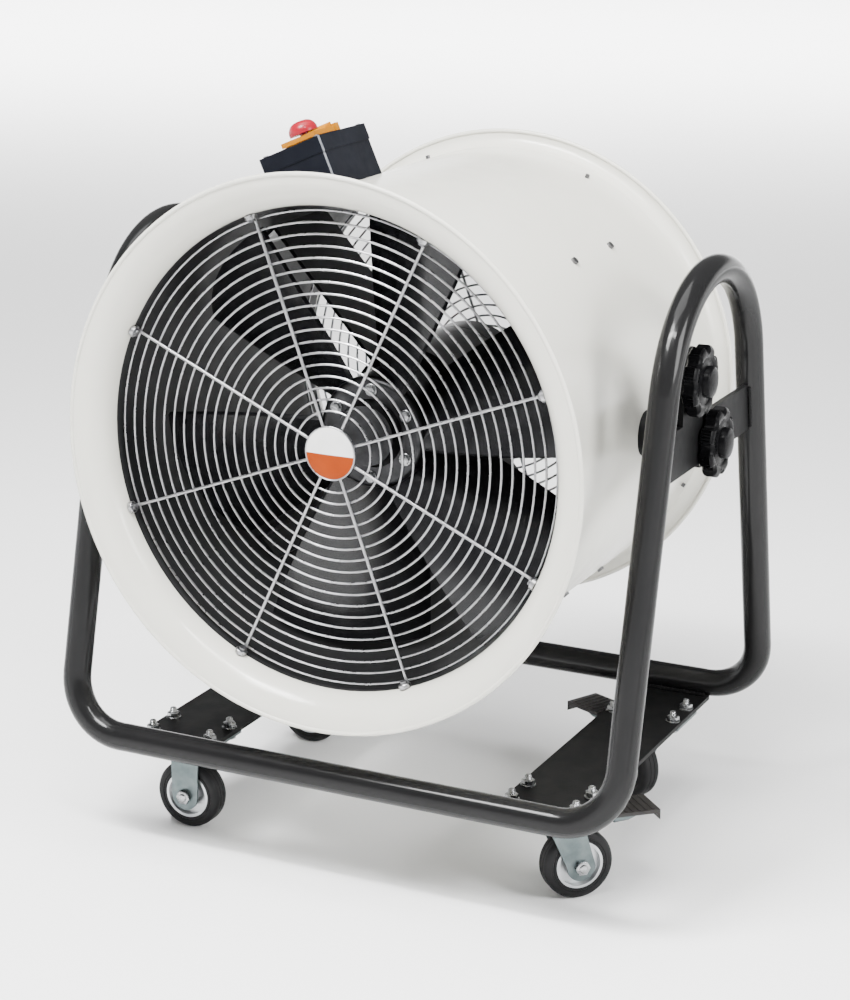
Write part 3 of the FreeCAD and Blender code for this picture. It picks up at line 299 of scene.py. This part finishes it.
zinc_plate("bolt_zinc", dark=(0.22, 0.225, 0.23), light=(0.38, 0.385, 0.39), smooth=0.2, rough=0.34)
bolts = bmesh.new()
holes = [(x + i, y + j) for x in (-CASTOR_X, CASTOR_X) for y in (-CASTOR_Y, CASTOR_Y)
         for i in (-HOLE_X, HOLE_X) for j in (-HOLE_Y, HOLE_Y)]
nut_low = PLATE_TOP + WASHER
nut_high = nut_low + HEX_HEIGHT
for x, y in holes:
    twist = radians(NUT_TURN_X * x + NUT_TURN_Y * y)
    at = Matrix.Translation((x, y, 0)) @ Matrix.Rotation(twist, 4, "Z")
    hexagon(bolts, HEX_RADIUS, BOLT_UNDER, BOLT_UNDER + HEX_HEIGHT, at)
    lathe(bolts, [(BOLT_RADIUS, BOLT_UNDER + HEX_HEIGHT), (BOLT_RADIUS, PLATE_TOP)], at)
    lathe(bolts, [(WASHER_RADIUS, PLATE_TOP), (WASHER_RADIUS, nut_low - WASHER_EDGE),
                  (WASHER_RADIUS - WASHER_BEVEL, nut_low)], at)
    hexagon(bolts, HEX_RADIUS, nut_low, nut_high, at)
    lathe(bolts, thread(BOLT_RADIUS, nut_high, nut_high + THREAD_RISE), at, SMALL_SIDES)
piece = new_piece("castor_fastenings", bolts, "frame", "bolt_zinc")
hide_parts("castor_bolts")

# Castor forks and plates: pressed steel, zinc plated. The left pair is rigid, the right pair swivels on a
# ball race under its plate.
SIDES = {"left": -CASTOR_X, "right": CASTOR_X}
ENDS = {"front": -CASTOR_Y, "rear": CASTOR_Y}
zinc_plate("fork_zinc", dark=(0.080, 0.099, 0.101), light=(0.122, 0.145, 0.147), smooth=0.3, rough=0.48)
for end in ENDS:
    wear("fork_zinc", f"fixed_fork_{end}", f"swivel_plate_{end}", f"swivel_fork_{end}")

# Wheels: black rubber tyres bonded to pale grey pressed rims that turn on the axles.
# Each tyre is moulded with a fine ring in both sidewalls and two grooves round its tread.
WHEEL = 0.040
WHEEL_HALF = 0.0125
TRAIL = {"left": 0.0, "right": 0.030}
SWIVEL_HEADING = {"front": radians(45), "rear": radians(154)}
SIDEWALL = ((0.0270, 0.0002), (0.0300, 0.0), (0.0304, 0.0006), (0.0310, 0.0006), (0.0314, 0.0), (0.0340, 0.0))
SHOULDER = 0.0340
SHOULDER_ROUND = 0.0060
SHOULDER_STEPS = 6
TREAD_GROOVE = ((0.0400, -0.0036), (0.0394, -0.0033), (0.0394, -0.0029), (0.0400, -0.0026))
TYRE_SIDES = 96
PITS = 0.00008


def moulding(name, dark, light, smooth, rough, glint, pits=PITS):
    """Moulded plastic or rubber: slight clouding and a fine spark-eroded skin."""
    tree, shader = new_finish(name)
    colour = shade(tree, shader, dark, light, scale=30.0)
    dull(tree, shader, smooth, rough, scale=80.0)
    emboss(tree, shader, pits, scale=1400.0)
    shader.inputs["Specular IOR Level"].default_value = glint
    return tree, shader, colour


def castor_place(side, end):
    """The castor's upright axis, turned to its heading."""
    heading = SWIVEL_HEADING[end] if side == "right" else 0.0
    return Matrix.Translation((SIDES[side], ENDS[end], 0)) @ Matrix.Rotation(heading, 4, "Z")


def wheel_place(side, end):
    """The wheel's middle, with z along the axle."""
    hub = Matrix.Translation((TRAIL[side], 0, WHEEL))
    return castor_place(side, end) @ hub @ Matrix.Rotation(radians(90), 4, "X")


def tyre_section():
    """From the seat up one sidewall, over the tread and down the other."""
    half = [(radius, -WHEEL_HALF + sunk) for radius, sunk in SIDEWALL]
    for i in range(1, SHOULDER_STEPS + 1):
        a = radians(90 * i / SHOULDER_STEPS)
        half.append((SHOULDER + SHOULDER_ROUND * sin(a), -WHEEL_HALF + SHOULDER_ROUND * (1 - cos(a))))
    half += TREAD_GROOVE
    return half + [(radius, -height) for radius, height in reversed(half)]


def turned_ring(work, section, at, sides):
    """Turn a closed section of (radius, height) round the z axis of a place."""
    rings = [[at @ Vector((radius * cos(a), radius * sin(a), height)) for radius, height in section]
             for a in round_angles(sides)]
    skin(work, rings, closed_along=True)


moulding("tyre_black", dark=(0.005, 0.005, 0.0055), light=(0.009, 0.009, 0.0095),
         smooth=0.42, rough=0.6, glint=0.15)
zinc_plate("rim_silver", dark=(0.36, 0.37, 0.38), light=(0.50, 0.51, 0.52), smooth=0.28, rough=0.42)
for side in SIDES:
    for end in ENDS:
        wear("rim_silver", f"rim_{side}_{end}")
        tyre = bmesh.new()
        turned_ring(tyre, tyre_section(), wheel_place(side, end), TYRE_SIDES)
        name = f"moulded_tyre_{side}_{end}"
        piece = new_piece(name, tyre, f"wheel_{side}_{end}", "tyre_black")
        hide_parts(f"tyre_{side}_{end}")

# Axles: zinc-plated hexagon bolts through both fork legs and the rim's hub.
# A nut holds each one at the far leg, with a short threaded end beyond it.
FORK_HALF = 0.0175
AXLE_HEX = 0.0086
AXLE_HEAD = 0.0055
AXLE_RADIUS = 0.005
AXLE_TIP = 0.0025
for side, kind in (("left", "fixed"), ("right", "swivel")):
    for end in ENDS:
        at = wheel_place(side, end)
        axle = bmesh.new()
        nut_face = FORK_HALF + AXLE_HEAD
        hexagon(axle, AXLE_HEX, -nut_face, -FORK_HALF, at)
        lathe(axle, [(AXLE_RADIUS, -FORK_HALF), (AXLE_RADIUS, FORK_HALF)], at)
        hexagon(axle, AXLE_HEX, FORK_HALF, nut_face, at)
        lathe(axle, thread(AXLE_RADIUS, nut_face, nut_face + AXLE_TIP), at, SMALL_SIDES)
        body = "frame" if side == "left" else f"swivel_{end}"
        piece = new_piece(f"axle_bolt_{side}_{end}", axle, body, "bolt_zinc")
        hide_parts(f"{kind}_axle_{end}")

# Brake pedals: pressed steel foot levers on the swivel forks, painted dark, with ribs on the tread
# and a zinc-plated stiffening channel below.
PEDAL_START = 0.0654
PEDAL_END = 0.119
PEDAL_HIGH = 0.099
PEDAL_FALL = 0.001
PEDAL_UNDER = 0.0951
RIBS = 6
RIBS_START = 0.066
RIBS_END = 0.117
RIB_FIRST = 0.7
RIB_SPACES = 6.4
RIB_HALF = 0.021
RIB = ((-0.0016, -0.0006), (-0.0010, 0.0009), (0.0010, 0.0009), (0.0016, -0.0006))
LEVER = ((0.0670, 0.0125, 0.0085), (0.0690, 0.0140, 0.0105), (0.0860, 0.0140, 0.0095),
         (0.1000, 0.0120, 0.0050), (0.1030, 0.0105, 0.0015))
LEVER_SECTION = ((-1.0, 0.0), (-1.0, 0.75), (-0.85, 1.0), (0.85, 1.0), (1.0, 0.75), (1.0, 0.0))
CRISP_EDGE = 25.0
powder_coat("pedal_coat", dark=(0.015, 0.0135, 0.013), light=(0.025, 0.0225, 0.0215),
            smooth=0.4, rough=0.55, gloss=0.0, glint=0.2)
for end in ENDS:
    wear("pedal_coat", f"brake_pedal_{end}")
    at = castor_place("right", end)
    ribs = bmesh.new()
    for i in range(RIBS):
        x = RIBS_START + (RIBS_END - RIBS_START) * (i + RIB_FIRST) / RIB_SPACES
        z = PEDAL_HIGH - PEDAL_FALL * (x - PEDAL_START) / (PEDAL_END - PEDAL_START)
        skin(ribs, [[at @ Vector((x + dx, y, z + dz)) for dx, dz in RIB] for y in (-RIB_HALF, RIB_HALF)])
    new_piece(f"pedal_ribs_{end}", ribs, f"pedal_{end}", "pedal_coat")
    lever = bmesh.new()
    skin(lever, [[at @ Vector((x, y * half, PEDAL_UNDER - drop * deep)) for y, drop in LEVER_SECTION]
                 for x, half, deep in LEVER])
    new_piece(f"pedal_lever_{end}", lever, f"pedal_{end}", "fork_zinc", crease=CRISP_EDGE)

# Drum: rolled steel sheet with a spun bellmouth in front and a small flare behind, both hemmed.
# Off-white powder coat outside and on the flares, black inside the throat.
THROAT = 0.261
DRUM_WALL = 0.002
THROAT_FRONT = -0.235
THROAT_BACK = 0.217
THROAT_DULL = 0.45
FRONT_LIP = (0.297, -0.268)
REAR_LIP = (0.280, 0.233)
HEM = 0.0026
HEM_SIDES = 12
DRUM_SIDES = 192
DRUM = Matrix.Translation((0, 0, PIVOT_Z)) @ Matrix.Rotation(radians(90), 4, "X")


def calculate(tree, operation, *terms):
    """A sum in nodes, of sockets and plain numbers."""
    node = tree.nodes.new("ShaderNodeMath")
    node.operation = operation
    for socket, term in zip(node.inputs, terms):
        if isinstance(term, float):
            socket.default_value = term
        else:
            tree.links.new(term, socket)
    return node.outputs["Value"]


def own_metres(tree):
    """The piece's own x, y and z in metres."""
    place = tree.nodes.new("ShaderNodeTexCoord")
    split = tree.nodes.new("ShaderNodeSeparateXYZ")
    tree.links.new(place.outputs["Object"], split.inputs["Vector"])
    return [split.outputs[axis] for axis in "XYZ"]


def two_tone(tree, shader, mask, first, second):
    """Base colour that changes from one paint to another where a mask is 1."""
    mix = tree.nodes.new("ShaderNodeMix")
    mix.data_type = "RGBA"
    paints = [socket for socket in mix.inputs if socket.type == "RGBA"]
    tree.links.new(mask, mix.inputs["Factor"])
    for socket, paint in zip(paints, (first, second)):
        tree.links.new(paint, socket)
    mixed = next(socket for socket in mix.outputs if socket.type == "RGBA")
    tree.links.new(mixed, shader.inputs["Base Color"])


def drum_coat(name):
    """Off-white powder coat that turns to dull black inside the throat."""
    tree, shader = new_finish(name)
    white = shade(tree, shader, (0.525, 0.517, 0.466), (0.558, 0.55, 0.496), scale=5.0)
    black = shade(tree, shader, (0.004, 0.004, 0.0045), (0.007, 0.007, 0.0075), scale=8.0)
    x, y, z = own_metres(tree)
    rise = calculate(tree, "SUBTRACT", z, PIVOT_Z)
    x_square = calculate(tree, "MULTIPLY", x, x)
    square = calculate(tree, "ADD", x_square, calculate(tree, "MULTIPLY", rise, rise))
    inside = calculate(tree, "LESS_THAN", square, (THROAT + DRUM_WALL / 2) ** 2)
    after = calculate(tree, "GREATER_THAN", y, THROAT_FRONT)
    before = calculate(tree, "LESS_THAN", y, THROAT_BACK)
    throat = calculate(tree, "MULTIPLY", inside, calculate(tree, "MULTIPLY", after, before))
    two_tone(tree, shader, throat, white, black)
    gloss = dull(tree, shader, smooth=0.16, rough=0.24, scale=40.0)
    rough = calculate(tree, "MULTIPLY_ADD", throat, THROAT_DULL, gloss)
    tree.links.new(rough, shader.inputs["Roughness"])
    emboss(tree, shader, depth=0.0001, scale=380.0)
    shader.inputs["Specular IOR Level"].default_value = 0.35


def round_section(radius, height, wire, sides):
    """The section of a round wire at a radius and a height."""
    return [(radius + wire * cos(a), height + wire * sin(a)) for a in round_angles(sides)]


drum_coat("drum_white")
wear("drum_white", "drum_shell")
hem = bmesh.new()
for radius, y in (FRONT_LIP, REAR_LIP):
    turned_ring(hem, round_section(radius, -y, HEM, HEM_SIDES), DRUM, DRUM_SIDES)
new_piece("drum_hems", hem, "drum", "drum_white")

# Guards: rings and spokes of steel wire, spot welded where they cross and bright zinc plated.
# Each spoke ends in an eyelet that a screw holds to the drum's wall. GUARDS gives each guard's plane,
# the way it faces and the radius of its centre disc.
GUARDS = {"front": (0.227, 1, 0.028), "rear": (0.181, -1, 0.030)}
GUARD_TURN = radians(20.5)
GUARD_PLACE = DRUM @ Matrix.Rotation(GUARD_TURN, 4, "Z")
RINGS = 18
RING_OUTER = 0.255
RING_INNER = 0.044
RING_WIRE = 0.0013
RING_SIDES = 160
RING_FACETS = 10
SPOKES = 8
SPOKE_LIFT = 0.00365
SPOKE_INNER = 0.016
SPOKE_WIRE = 0.0017
SPOKE_FACETS = 14
SPOT_WELD = 0.0004
EYELET_SEAT = 0.2609
EYELET_TALL = 0.005
EYELET_SHIFT = 0.0069
EYELET = ((0.0026, 0.0004), (0.0030, 0.0), (0.0062, 0.0), (0.0067, 0.0006), (0.0067, 0.0044),
          (0.0062, EYELET_TALL), (0.0030, EYELET_TALL), (0.0026, 0.0046))
DISC_HALF = 0.001
DISC_EDGE = 0.0006
DISC_BEVEL = 0.0004
DISC_SIDES = 72
zinc_plate("guard_zinc", dark=(0.25, 0.25, 0.257), light=(0.36, 0.36, 0.368), smooth=0.24, rough=0.38)
zinc_plate("screw_zinc", dark=(0.10, 0.10, 0.105), light=(0.17, 0.17, 0.175), smooth=0.3, rough=0.45)
for end, (plane, facing, disc) in GUARDS.items():
    wires = bmesh.new()
    spoke_z = facing * (plane + SPOKE_LIFT)
    ring_z = spoke_z - facing * (SPOKE_WIRE + RING_WIRE - SPOT_WELD)
    for i in range(RINGS):
        radius = RING_OUTER + (RING_INNER - RING_OUTER) * i / (RINGS - 1)
        turned_ring(wires, round_section(radius, ring_z, RING_WIRE, RING_FACETS), GUARD_PLACE, RING_SIDES)
    spoke = round_section(0.0, spoke_z, SPOKE_WIRE, SPOKE_FACETS)
    eye = Matrix.Translation((EYELET_SEAT - EYELET_TALL, 0, spoke_z + facing * EYELET_SHIFT))
    for angle in round_angles(SPOKES):
        at = GUARD_PLACE @ Matrix.Rotation(angle, 4, "Z")
        skin(wires, [[at @ Vector((reach, y, z)) for y, z in spoke] for reach in (SPOKE_INNER, EYELET_SEAT)])
        turned_ring(wires, EYELET, at @ eye @ Matrix.Rotation(radians(90), 4, "Y"), ROUND_SIDES)
    lathe(wires, [(0.0, -DISC_HALF), (disc - DISC_BEVEL, -DISC_HALF), (disc, -DISC_EDGE), (disc, DISC_EDGE),
                  (disc - DISC_BEVEL, DISC_HALF), (0.0, DISC_HALF)],
          GUARD_PLACE @ Matrix.Translation((0, 0, spoke_z)), DISC_SIDES)
    piece = new_piece(f"{end}_guard_wires", wires, "drum", "guard_zinc")
    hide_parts(f"{end}_grille")
wear("screw_zinc", "front_grille_screws", "rear_grille_screws", "motor_screws")

# Badge: a plain domed disc in a thin zinc rim on the middle of the front guard, printed white above
# and orange below.
BADGE_SPLIT = 0.4938
BADGE_BACK = 0.2323
BADGE_PLACE = DRUM @ Matrix.Translation((0, 0, BADGE_BACK))
BADGE = ((0.0, 0.0), (0.0284, 0.0), (0.0284, 0.0026), (0.0270, 0.0032), (0.0200, 0.0036),
         (0.0100, 0.0038), (0.0, 0.0039))
BADGE_SIDES = 96
RIM_RADIUS = 0.0286
RIM_HIGH = 0.0022
RIM_WIRE = 0.0010


def badge_print(name):
    """Two satin inks, parted by a level line."""
    tree, shader = new_finish(name)
    above = calculate(tree, "GREATER_THAN", own_metres(tree)[2], BADGE_SPLIT)
    white = shade(tree, shader, (0.60, 0.60, 0.59), (0.65, 0.65, 0.64), scale=60.0)
    orange = shade(tree, shader, (0.200, 0.026, 0.0), (0.230, 0.031, 0.0), scale=60.0)
    two_tone(tree, shader, above, orange, white)
    dull(tree, shader, smooth=0.3, rough=0.4, scale=200.0)
    shader.inputs["Specular IOR Level"].default_value = 0.1


badge_print("badge_inks")
disc = bmesh.new()
lathe(disc, BADGE, BADGE_PLACE, BADGE_SIDES)
piece = new_piece("badge_disc", disc, "drum", "badge_inks")
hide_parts("badge")
rim = bmesh.new()
turned_ring(rim, round_section(RIM_RADIUS, RIM_HIGH, RIM_WIRE, RING_FACETS), BADGE_PLACE, BADGE_SIDES)
new_piece("badge_rim", rim, "drum", "guard_zinc")

# Motor: a black painted housing in a clamp with four sheet arms, whose feet are screwed to the drum.
# Its cowl has ring vents behind.
COWL_BACK = 0.130
VENT_RADII = (0.018, 0.030, 0.042, 0.054)
VENT = ((-0.003, -0.001), (-0.0024, 0.002), (0.0024, 0.002), (0.003, -0.001))
VENT_SIDES = 72
powder_coat("motor_black", dark=(0.006, 0.006, 0.0065), light=(0.011, 0.011, 0.0115),
            smooth=0.3, rough=0.45, gloss=0.1, glint=0.2)
wear("motor_black", "motor", "motor_bracket")
vents = bmesh.new()
for radius in VENT_RADII:
    turned_ring(vents, [(radius + out, -COWL_BACK - proud) for out, proud in VENT], DRUM, VENT_SIDES)
new_piece("cowl_vents", vents, "drum", "motor_black")

# Impeller: six dark glossy moulded blades on a cast hub, which sits on the motor's bright shaft.
# Six zinc-plated bolts with washers go through the hub's face.
HUB_FACE = 0.140
HUB_BOLTS = 6
HUB_BOLT_CIRCLE = 0.048
HUB_WASHER = ((0.0070, -0.0004), (0.0070, 0.0010), (0.0066, 0.0013))
HUB_HEX = 0.0056
HUB_HEX_LOW = 0.0012
HUB_HEX_HIGH = 0.0050
moulding("blade_black", dark=(0.005, 0.005, 0.006), light=(0.010, 0.010, 0.011),
         smooth=0.16, rough=0.26, glint=0.4, pits=0.00003)
zinc_plate("hub_cast", dark=(0.022, 0.022, 0.023), light=(0.042, 0.042, 0.044), smooth=0.3, rough=0.45)
zinc_plate("shaft_bright", dark=(0.45, 0.45, 0.46), light=(0.60, 0.60, 0.61), smooth=0.2, rough=0.32)
wear("blade_black", "impeller_blades")
wear("hub_cast", "impeller_hub")
wear("shaft_bright", "motor_shaft")
hub_bolts = bmesh.new()
for i in range(HUB_BOLTS):
    angle = 2 * pi * (i + 0.5) / HUB_BOLTS
    at = DRUM @ Matrix.Translation((HUB_BOLT_CIRCLE * cos(angle), HUB_BOLT_CIRCLE * sin(angle), HUB_FACE))
    lathe(hub_bolts, HUB_WASHER, at, SMALL_SIDES)
    hexagon(hub_bolts, HUB_HEX, HUB_HEX_LOW, HUB_HEX_HIGH, at)
new_piece("hub_bolts", hub_bolts, "impeller", "bolt_zinc")

# Tilt pivots: grey bosses and slotted quadrants on the drum, a zinc lock bolt through each slot, and
# black moulded hand knobs with eight ridged lobes and closed tops. KNOB_LEVELS gives each level's height,
# how far its edge is drawn in, and whether the lobes are ridged there.
KNOB_INSIDE = 0.3344
LOCK_FORWARD = 0.061
LOCK_RISE = 0.080
KNOB = 0.038
KNOB_TALL = 0.024
KNOB_BORE = 0.00605
KNOB_LEVELS = ((0.0, 0.0045, False), (0.0012, 0.0018, False), (0.0030, 0.0, False), (0.0032, 0.0, True),
               (0.0138, 0.0, True), (0.0140, 0.0, False), (0.0158, 0.0018, False), (0.0170, 0.0045, False))
KNOB_CAP = ((0.0265, 0.0165), (0.0245, 0.0150), (0.0185, 0.0152), (0.0170, 0.0162), (0.0165, 0.0225),
            (0.0158, 0.0235), (0.0145, KNOB_TALL), (0.0100, KNOB_TALL + 0.0010),
            (0.0050, KNOB_TALL + 0.0014), (0.0002, KNOB_TALL + 0.0015),
            (0.0002, KNOB_TALL + 0.0004), (KNOB_BORE, KNOB_TALL + 0.0004))
LOBES = 8
LOBE_STEPS = 36
SCALLOP = 0.009
SCALLOP_CENTRE = 0.042
RIDGE = 0.0007
RIDGES = 9
moulding("knob_black", dark=(0.002, 0.002, 0.0023), light=(0.004, 0.004, 0.0044),
         smooth=0.22, rough=0.32, glint=0.04)


def knob_edge(angle, inset, ridged):
    """The knob's radius in one direction: round lobes with ridges, and hollows between them."""
    off = (angle + pi / LOBES) % (2 * pi / LOBES) - pi / LOBES
    reach = SCALLOP_CENTRE * sin(off)
    radius = KNOB
    if abs(reach) < SCALLOP:
        radius = min(KNOB, SCALLOP_CENTRE * cos(off) - sqrt(SCALLOP ** 2 - reach ** 2))
    if ridged and radius == KNOB:
        radius -= RIDGE * (1 + cos(angle * LOBES * RIDGES))
    return radius - inset


def hand_knob(work, at):
    """From the bore round the lobed rim, over the closed top and back down the bore."""
    angles = round_angles(LOBES * LOBE_STEPS)
    levels = [(0.0, [KNOB_BORE] * len(angles))]
    for height, inset, ridged in KNOB_LEVELS:
        levels.append((height, [knob_edge(a, inset, ridged) for a in angles]))
    for radius, height in KNOB_CAP:
        levels.append((height, [radius] * len(angles)))
    rings = [[at @ Vector((radius * cos(a), radius * sin(a), height)) for a, radius in zip(angles, edge)]
             for height, edge in levels]
    skin(work, rings, closed_along=True)


for side, sign in (("left", -1), ("right", 1)):
    wear("plate_grey", f"pivot_boss_{side}", f"quadrant_{side}")
    wear("bolt_zinc", f"lock_bolt_{side}")
    outward = Matrix.Rotation(radians(90) * sign, 4, "Y")
    for kind, y, z in (("pivot", 0.0, PIVOT_Z), ("lock", -LOCK_FORWARD, PIVOT_Z + LOCK_RISE)):
        knob = bmesh.new()
        hand_knob(knob, Matrix.Translation((sign * KNOB_INSIDE, y, z)) @ outward)
        name = f"ridged_{kind}_knob_{side}"
        piece = new_piece(name, knob, f"{kind}_hand_knob_{side}", "knob_black")
        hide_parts(f"{kind}_knob_{side}")

# Switch box: a black moulded base saddled on the drum and a deep lid held by four screws,
# with a cable gland behind for the mains lead, tightened by a hexagon nut.
BOX_TURN = radians(24)
BOX = DRUM @ Matrix.Rotation(BOX_TURN, 4, "Z")
BOX_CENTRE = 0.029
BOX_BACK = -0.026
LID_TOP = 0.319
LID_SCREWS = [(x, z) for x in (-0.034, 0.034) for z in (-0.020, 0.078)]
LID_SCREW = ((0.0034, -0.0008), (0.0034, 0.0006), (0.0028, 0.0013), (0.0016, 0.0016), (0.0, 0.0017))
GLAND_HIGH = 0.287
GLAND_NUT = ((0.0124, 0.0002), (0.0147, 0.0002), (0.0155, 0.0007), (0.0155, 0.0050),
             (0.0147, 0.0055), (0.0124, 0.0055))
# How far from the box's middle the painted highlight on the upright corners starts, for the base and the lid.
CORNERS = {"box_black": 0.0924, "lid_black": 0.0944}


def box_moulding(name, corner):
    """Navy black plastic, with a painted highlight: paler along the upright corners."""
    tree, shader, plain = moulding(name, dark=(0.0025, 0.003, 0.0052), light=(0.0045, 0.0053, 0.0085),
                                   smooth=0.34, rough=0.48, glint=0.06)
    # Painted highlight: a paler colour along the upright corners, where light catches the rounded edges.
    corner_highlight = shade(tree, shader, (0.08, 0.084, 0.095), (0.16, 0.166, 0.18), scale=300.0)
    x, y, z = own_metres(tree)
    rise = calculate(tree, "SUBTRACT", z, PIVOT_Z)
    turned = calculate(tree, "MULTIPLY", rise, sin(BOX_TURN))
    across = calculate(tree, "MULTIPLY_ADD", x, cos(BOX_TURN), turned)
    along = calculate(tree, "ADD", y, BOX_CENTRE)
    reach = calculate(tree, "ADD", calculate(tree, "ABSOLUTE", across), calculate(tree, "ABSOLUTE", along))
    two_tone(tree, shader, calculate(tree, "GREATER_THAN", reach, corner), plain, corner_highlight)


for name, corner in CORNERS.items():
    box_moulding(name, corner)
wear("box_black", "switch_box", "cable_gland")
wear("lid_black", "switch_lid")
lid_screws = bmesh.new()
upward = Matrix.Rotation(radians(-90), 4, "X")
for x, z in LID_SCREWS:
    lathe(lid_screws, LID_SCREW, BOX @ Matrix.Translation((x, LID_TOP, z)) @ upward, SMALL_SIDES)
new_piece("lid_screws", lid_screws, "drum", "screw_zinc")
gland_nut = bmesh.new()
rearward = BOX @ Matrix.Translation((0, GLAND_HIGH, BOX_BACK)) @ Matrix.Rotation(pi, 4, "X")
turned_ring(gland_nut, GLAND_NUT, rearward, HEX_SIDES)
new_piece("gland_nut", gland_nut, "drum", "box_black")

# Emergency switch: an amber plate and hinged flap with a red mushroom head, over a green and a red button.
# The flap carries a ribbed ramp next to its hinge.
RAMP = ((0.0060, 0.3269), (0.0042, 0.3290), (0.0046, 0.3322), (0.0056, 0.3330), (0.0086, 0.3330),
        (0.0090, 0.3319), (0.0096, 0.3319), (0.0100, 0.3328), (0.0124, 0.3321), (0.0128, 0.3309),
        (0.0134, 0.3308), (0.0138, 0.3317), (0.0162, 0.3305), (0.0166, 0.3293), (0.0172, 0.3292),
        (0.0176, 0.3299), (0.0202, 0.3282), (0.0208, 0.3275), (0.0208, 0.3269))
RAMP_HALF = 0.017
moulding("switch_amber", dark=(0.32, 0.115, 0.0), light=(0.38, 0.145, 0.001),
         smooth=0.3, rough=0.4, glint=0.12)
moulding("signal_red", dark=(0.20, 0.006, 0.014), light=(0.25, 0.008, 0.019),
         smooth=0.22, rough=0.3, glint=0.2)
moulding("signal_green", dark=(0.010, 0.075, 0.020), light=(0.014, 0.10, 0.028),
         smooth=0.25, rough=0.35, glint=0.2)
wear("switch_amber", "switch_plate", "switch_flap")
ramp = bmesh.new()
skin(ramp, [[BOX @ Vector((x, y, z)) for z, y in RAMP] for x in (-RAMP_HALF, RAMP_HALF)])
new_piece("flap_ramp", ramp, "flap", "switch_amber", crease=CRISP_EDGE)
wear("signal_red", "stop_mushroom", "stop_button")
wear("signal_green", "start_button")

# Studio: a wide pale floor, with a pale band at the horizon in place of a white wall. Soft boxes light the
# fan from the left, the right and above, and four large lamps wash the floor around it.
# The camera has the photograph's angle and lens.
FLOOR_HALF = 20.0
FLOOR_ROUGH = 0.6
WALL_GLOW = 3.2
WALL_HIGH = 0.08
ROOM_GLOW = 0.3
ROOM_LOW = 0.24
TARGET = Vector((0.0, 0.0, 0.42))
SOFT_LIGHTS = (
    ("softbox_key", (-0.7, -1.7, 3.3), 1.2, 1.2, 265.0),
    ("softbox_top", (-0.2, -0.2, 3.4), 2.0, 2.0, 110.0),
    ("softbox_right", (2.8, -0.4, 1.8), 1.2, 1.6, 140.0),
    ("strip_front", (0.0, -1.4, 2.9), 2.4, 0.2, 140.0),
)
WASHES = 4
WASH_TURN = 25.0
WASH_OUT = 10.0
WASH_HIGH = 5.0
WASH_AIM = 12.9
WASH_WIDE = 14.0
WASH_LONG = 9.0
WASH_POWER = 5200.0
tree, shader = new_finish("studio_floor")
shade(tree, shader, dark=(0.94, 0.94, 0.94), light=(0.96, 0.96, 0.96), scale=0.8)
shader.inputs["Roughness"].default_value = FLOOR_ROUGH
sheet = bmesh.new()
for x, y in ((-1, -1), (1, -1), (1, 1), (-1, 1)):
    sheet.verts.new((x * FLOOR_HALF, y * FLOOR_HALF, 0))
sheet.faces.new(sheet.verts)
floor_mesh = bpy.data.meshes.new("studio_floor")
sheet.to_mesh(floor_mesh)
sheet.free()
floor_mesh.materials.append(finishes["studio_floor"])
floor = bpy.data.objects.new("studio_floor", floor_mesh)
bpy.context.scene.collection.objects.link(floor)

world = bpy.data.worlds.new("studio")
world.use_nodes = True
room = world.node_tree
glow = room.nodes["Background"]
glow.inputs["Color"].default_value = (1.0, 1.0, 1.0, 1.0)
direction = room.nodes.new("ShaderNodeTexCoord")
upright = room.nodes.new("ShaderNodeSeparateXYZ")
fade = room.nodes.new("ShaderNodeMapRange")
fade.interpolation_type = "SMOOTHSTEP"
set_range(fade, WALL_HIGH, ROOM_LOW, WALL_GLOW, ROOM_GLOW)
room.links.new(direction.outputs["Generated"], upright.inputs["Vector"])
room.links.new(upright.outputs["Z"], fade.inputs["Value"])
room.links.new(fade.outputs["Result"], glow.inputs["Strength"])
bpy.context.scene.world = world


def soft_light(name, place, aim, width, length, power):
    """A rectangular diffuser that faces a point."""
    lamp = bpy.data.lights.new(name, "AREA")
    lamp.shape = "RECTANGLE"
    lamp.size = width
    lamp.size_y = length
    lamp.energy = power
    light = bpy.data.objects.new(name, lamp)
    light.location = place
    light.rotation_euler = (aim - Vector(place)).to_track_quat("-Z", "Y").to_euler()
    bpy.context.scene.collection.objects.link(light)


for name, place, width, length, power in SOFT_LIGHTS:
    soft_light(name, place, TARGET, width, length, power)
for i in range(WASHES):
    out = Matrix.Rotation(radians(WASH_TURN + 360.0 / WASHES * i), 3, "Z") @ Vector((0, 1, 0))
    place = out * WASH_OUT + Vector((0, 0, WASH_HIGH))
    soft_light(f"floor_wash_{i}", place, out * WASH_AIM, WASH_WIDE, WASH_LONG, WASH_POWER)

AZIMUTH = radians(25.38)
ELEVATION = radians(16.22)
ROLL = radians(0.61)
CAMERA_PLACE = (1.1803, -2.4898, 1.1855)
SENSOR = 36.0
FOCAL_LENGTH = 90.8
ahead = Vector((-sin(AZIMUTH) * cos(ELEVATION), cos(AZIMUTH) * cos(ELEVATION), -sin(ELEVATION)))
level = Vector((cos(AZIMUTH), sin(AZIMUTH), 0.0))
right = level * cos(ROLL) + level.cross(ahead) * sin(ROLL)
lens = bpy.data.cameras.new("camera")
lens.sensor_width = SENSOR
lens.lens = FOCAL_LENGTH
camera = bpy.data.objects.new("camera", lens)
turn = Matrix((right, right.cross(ahead), -ahead)).transposed().to_4x4()
camera.matrix_world = Matrix.Translation(CAMERA_PLACE) @ turn
bpy.context.scene.collection.objects.link(camera)
bpy.context.scene.camera = camera
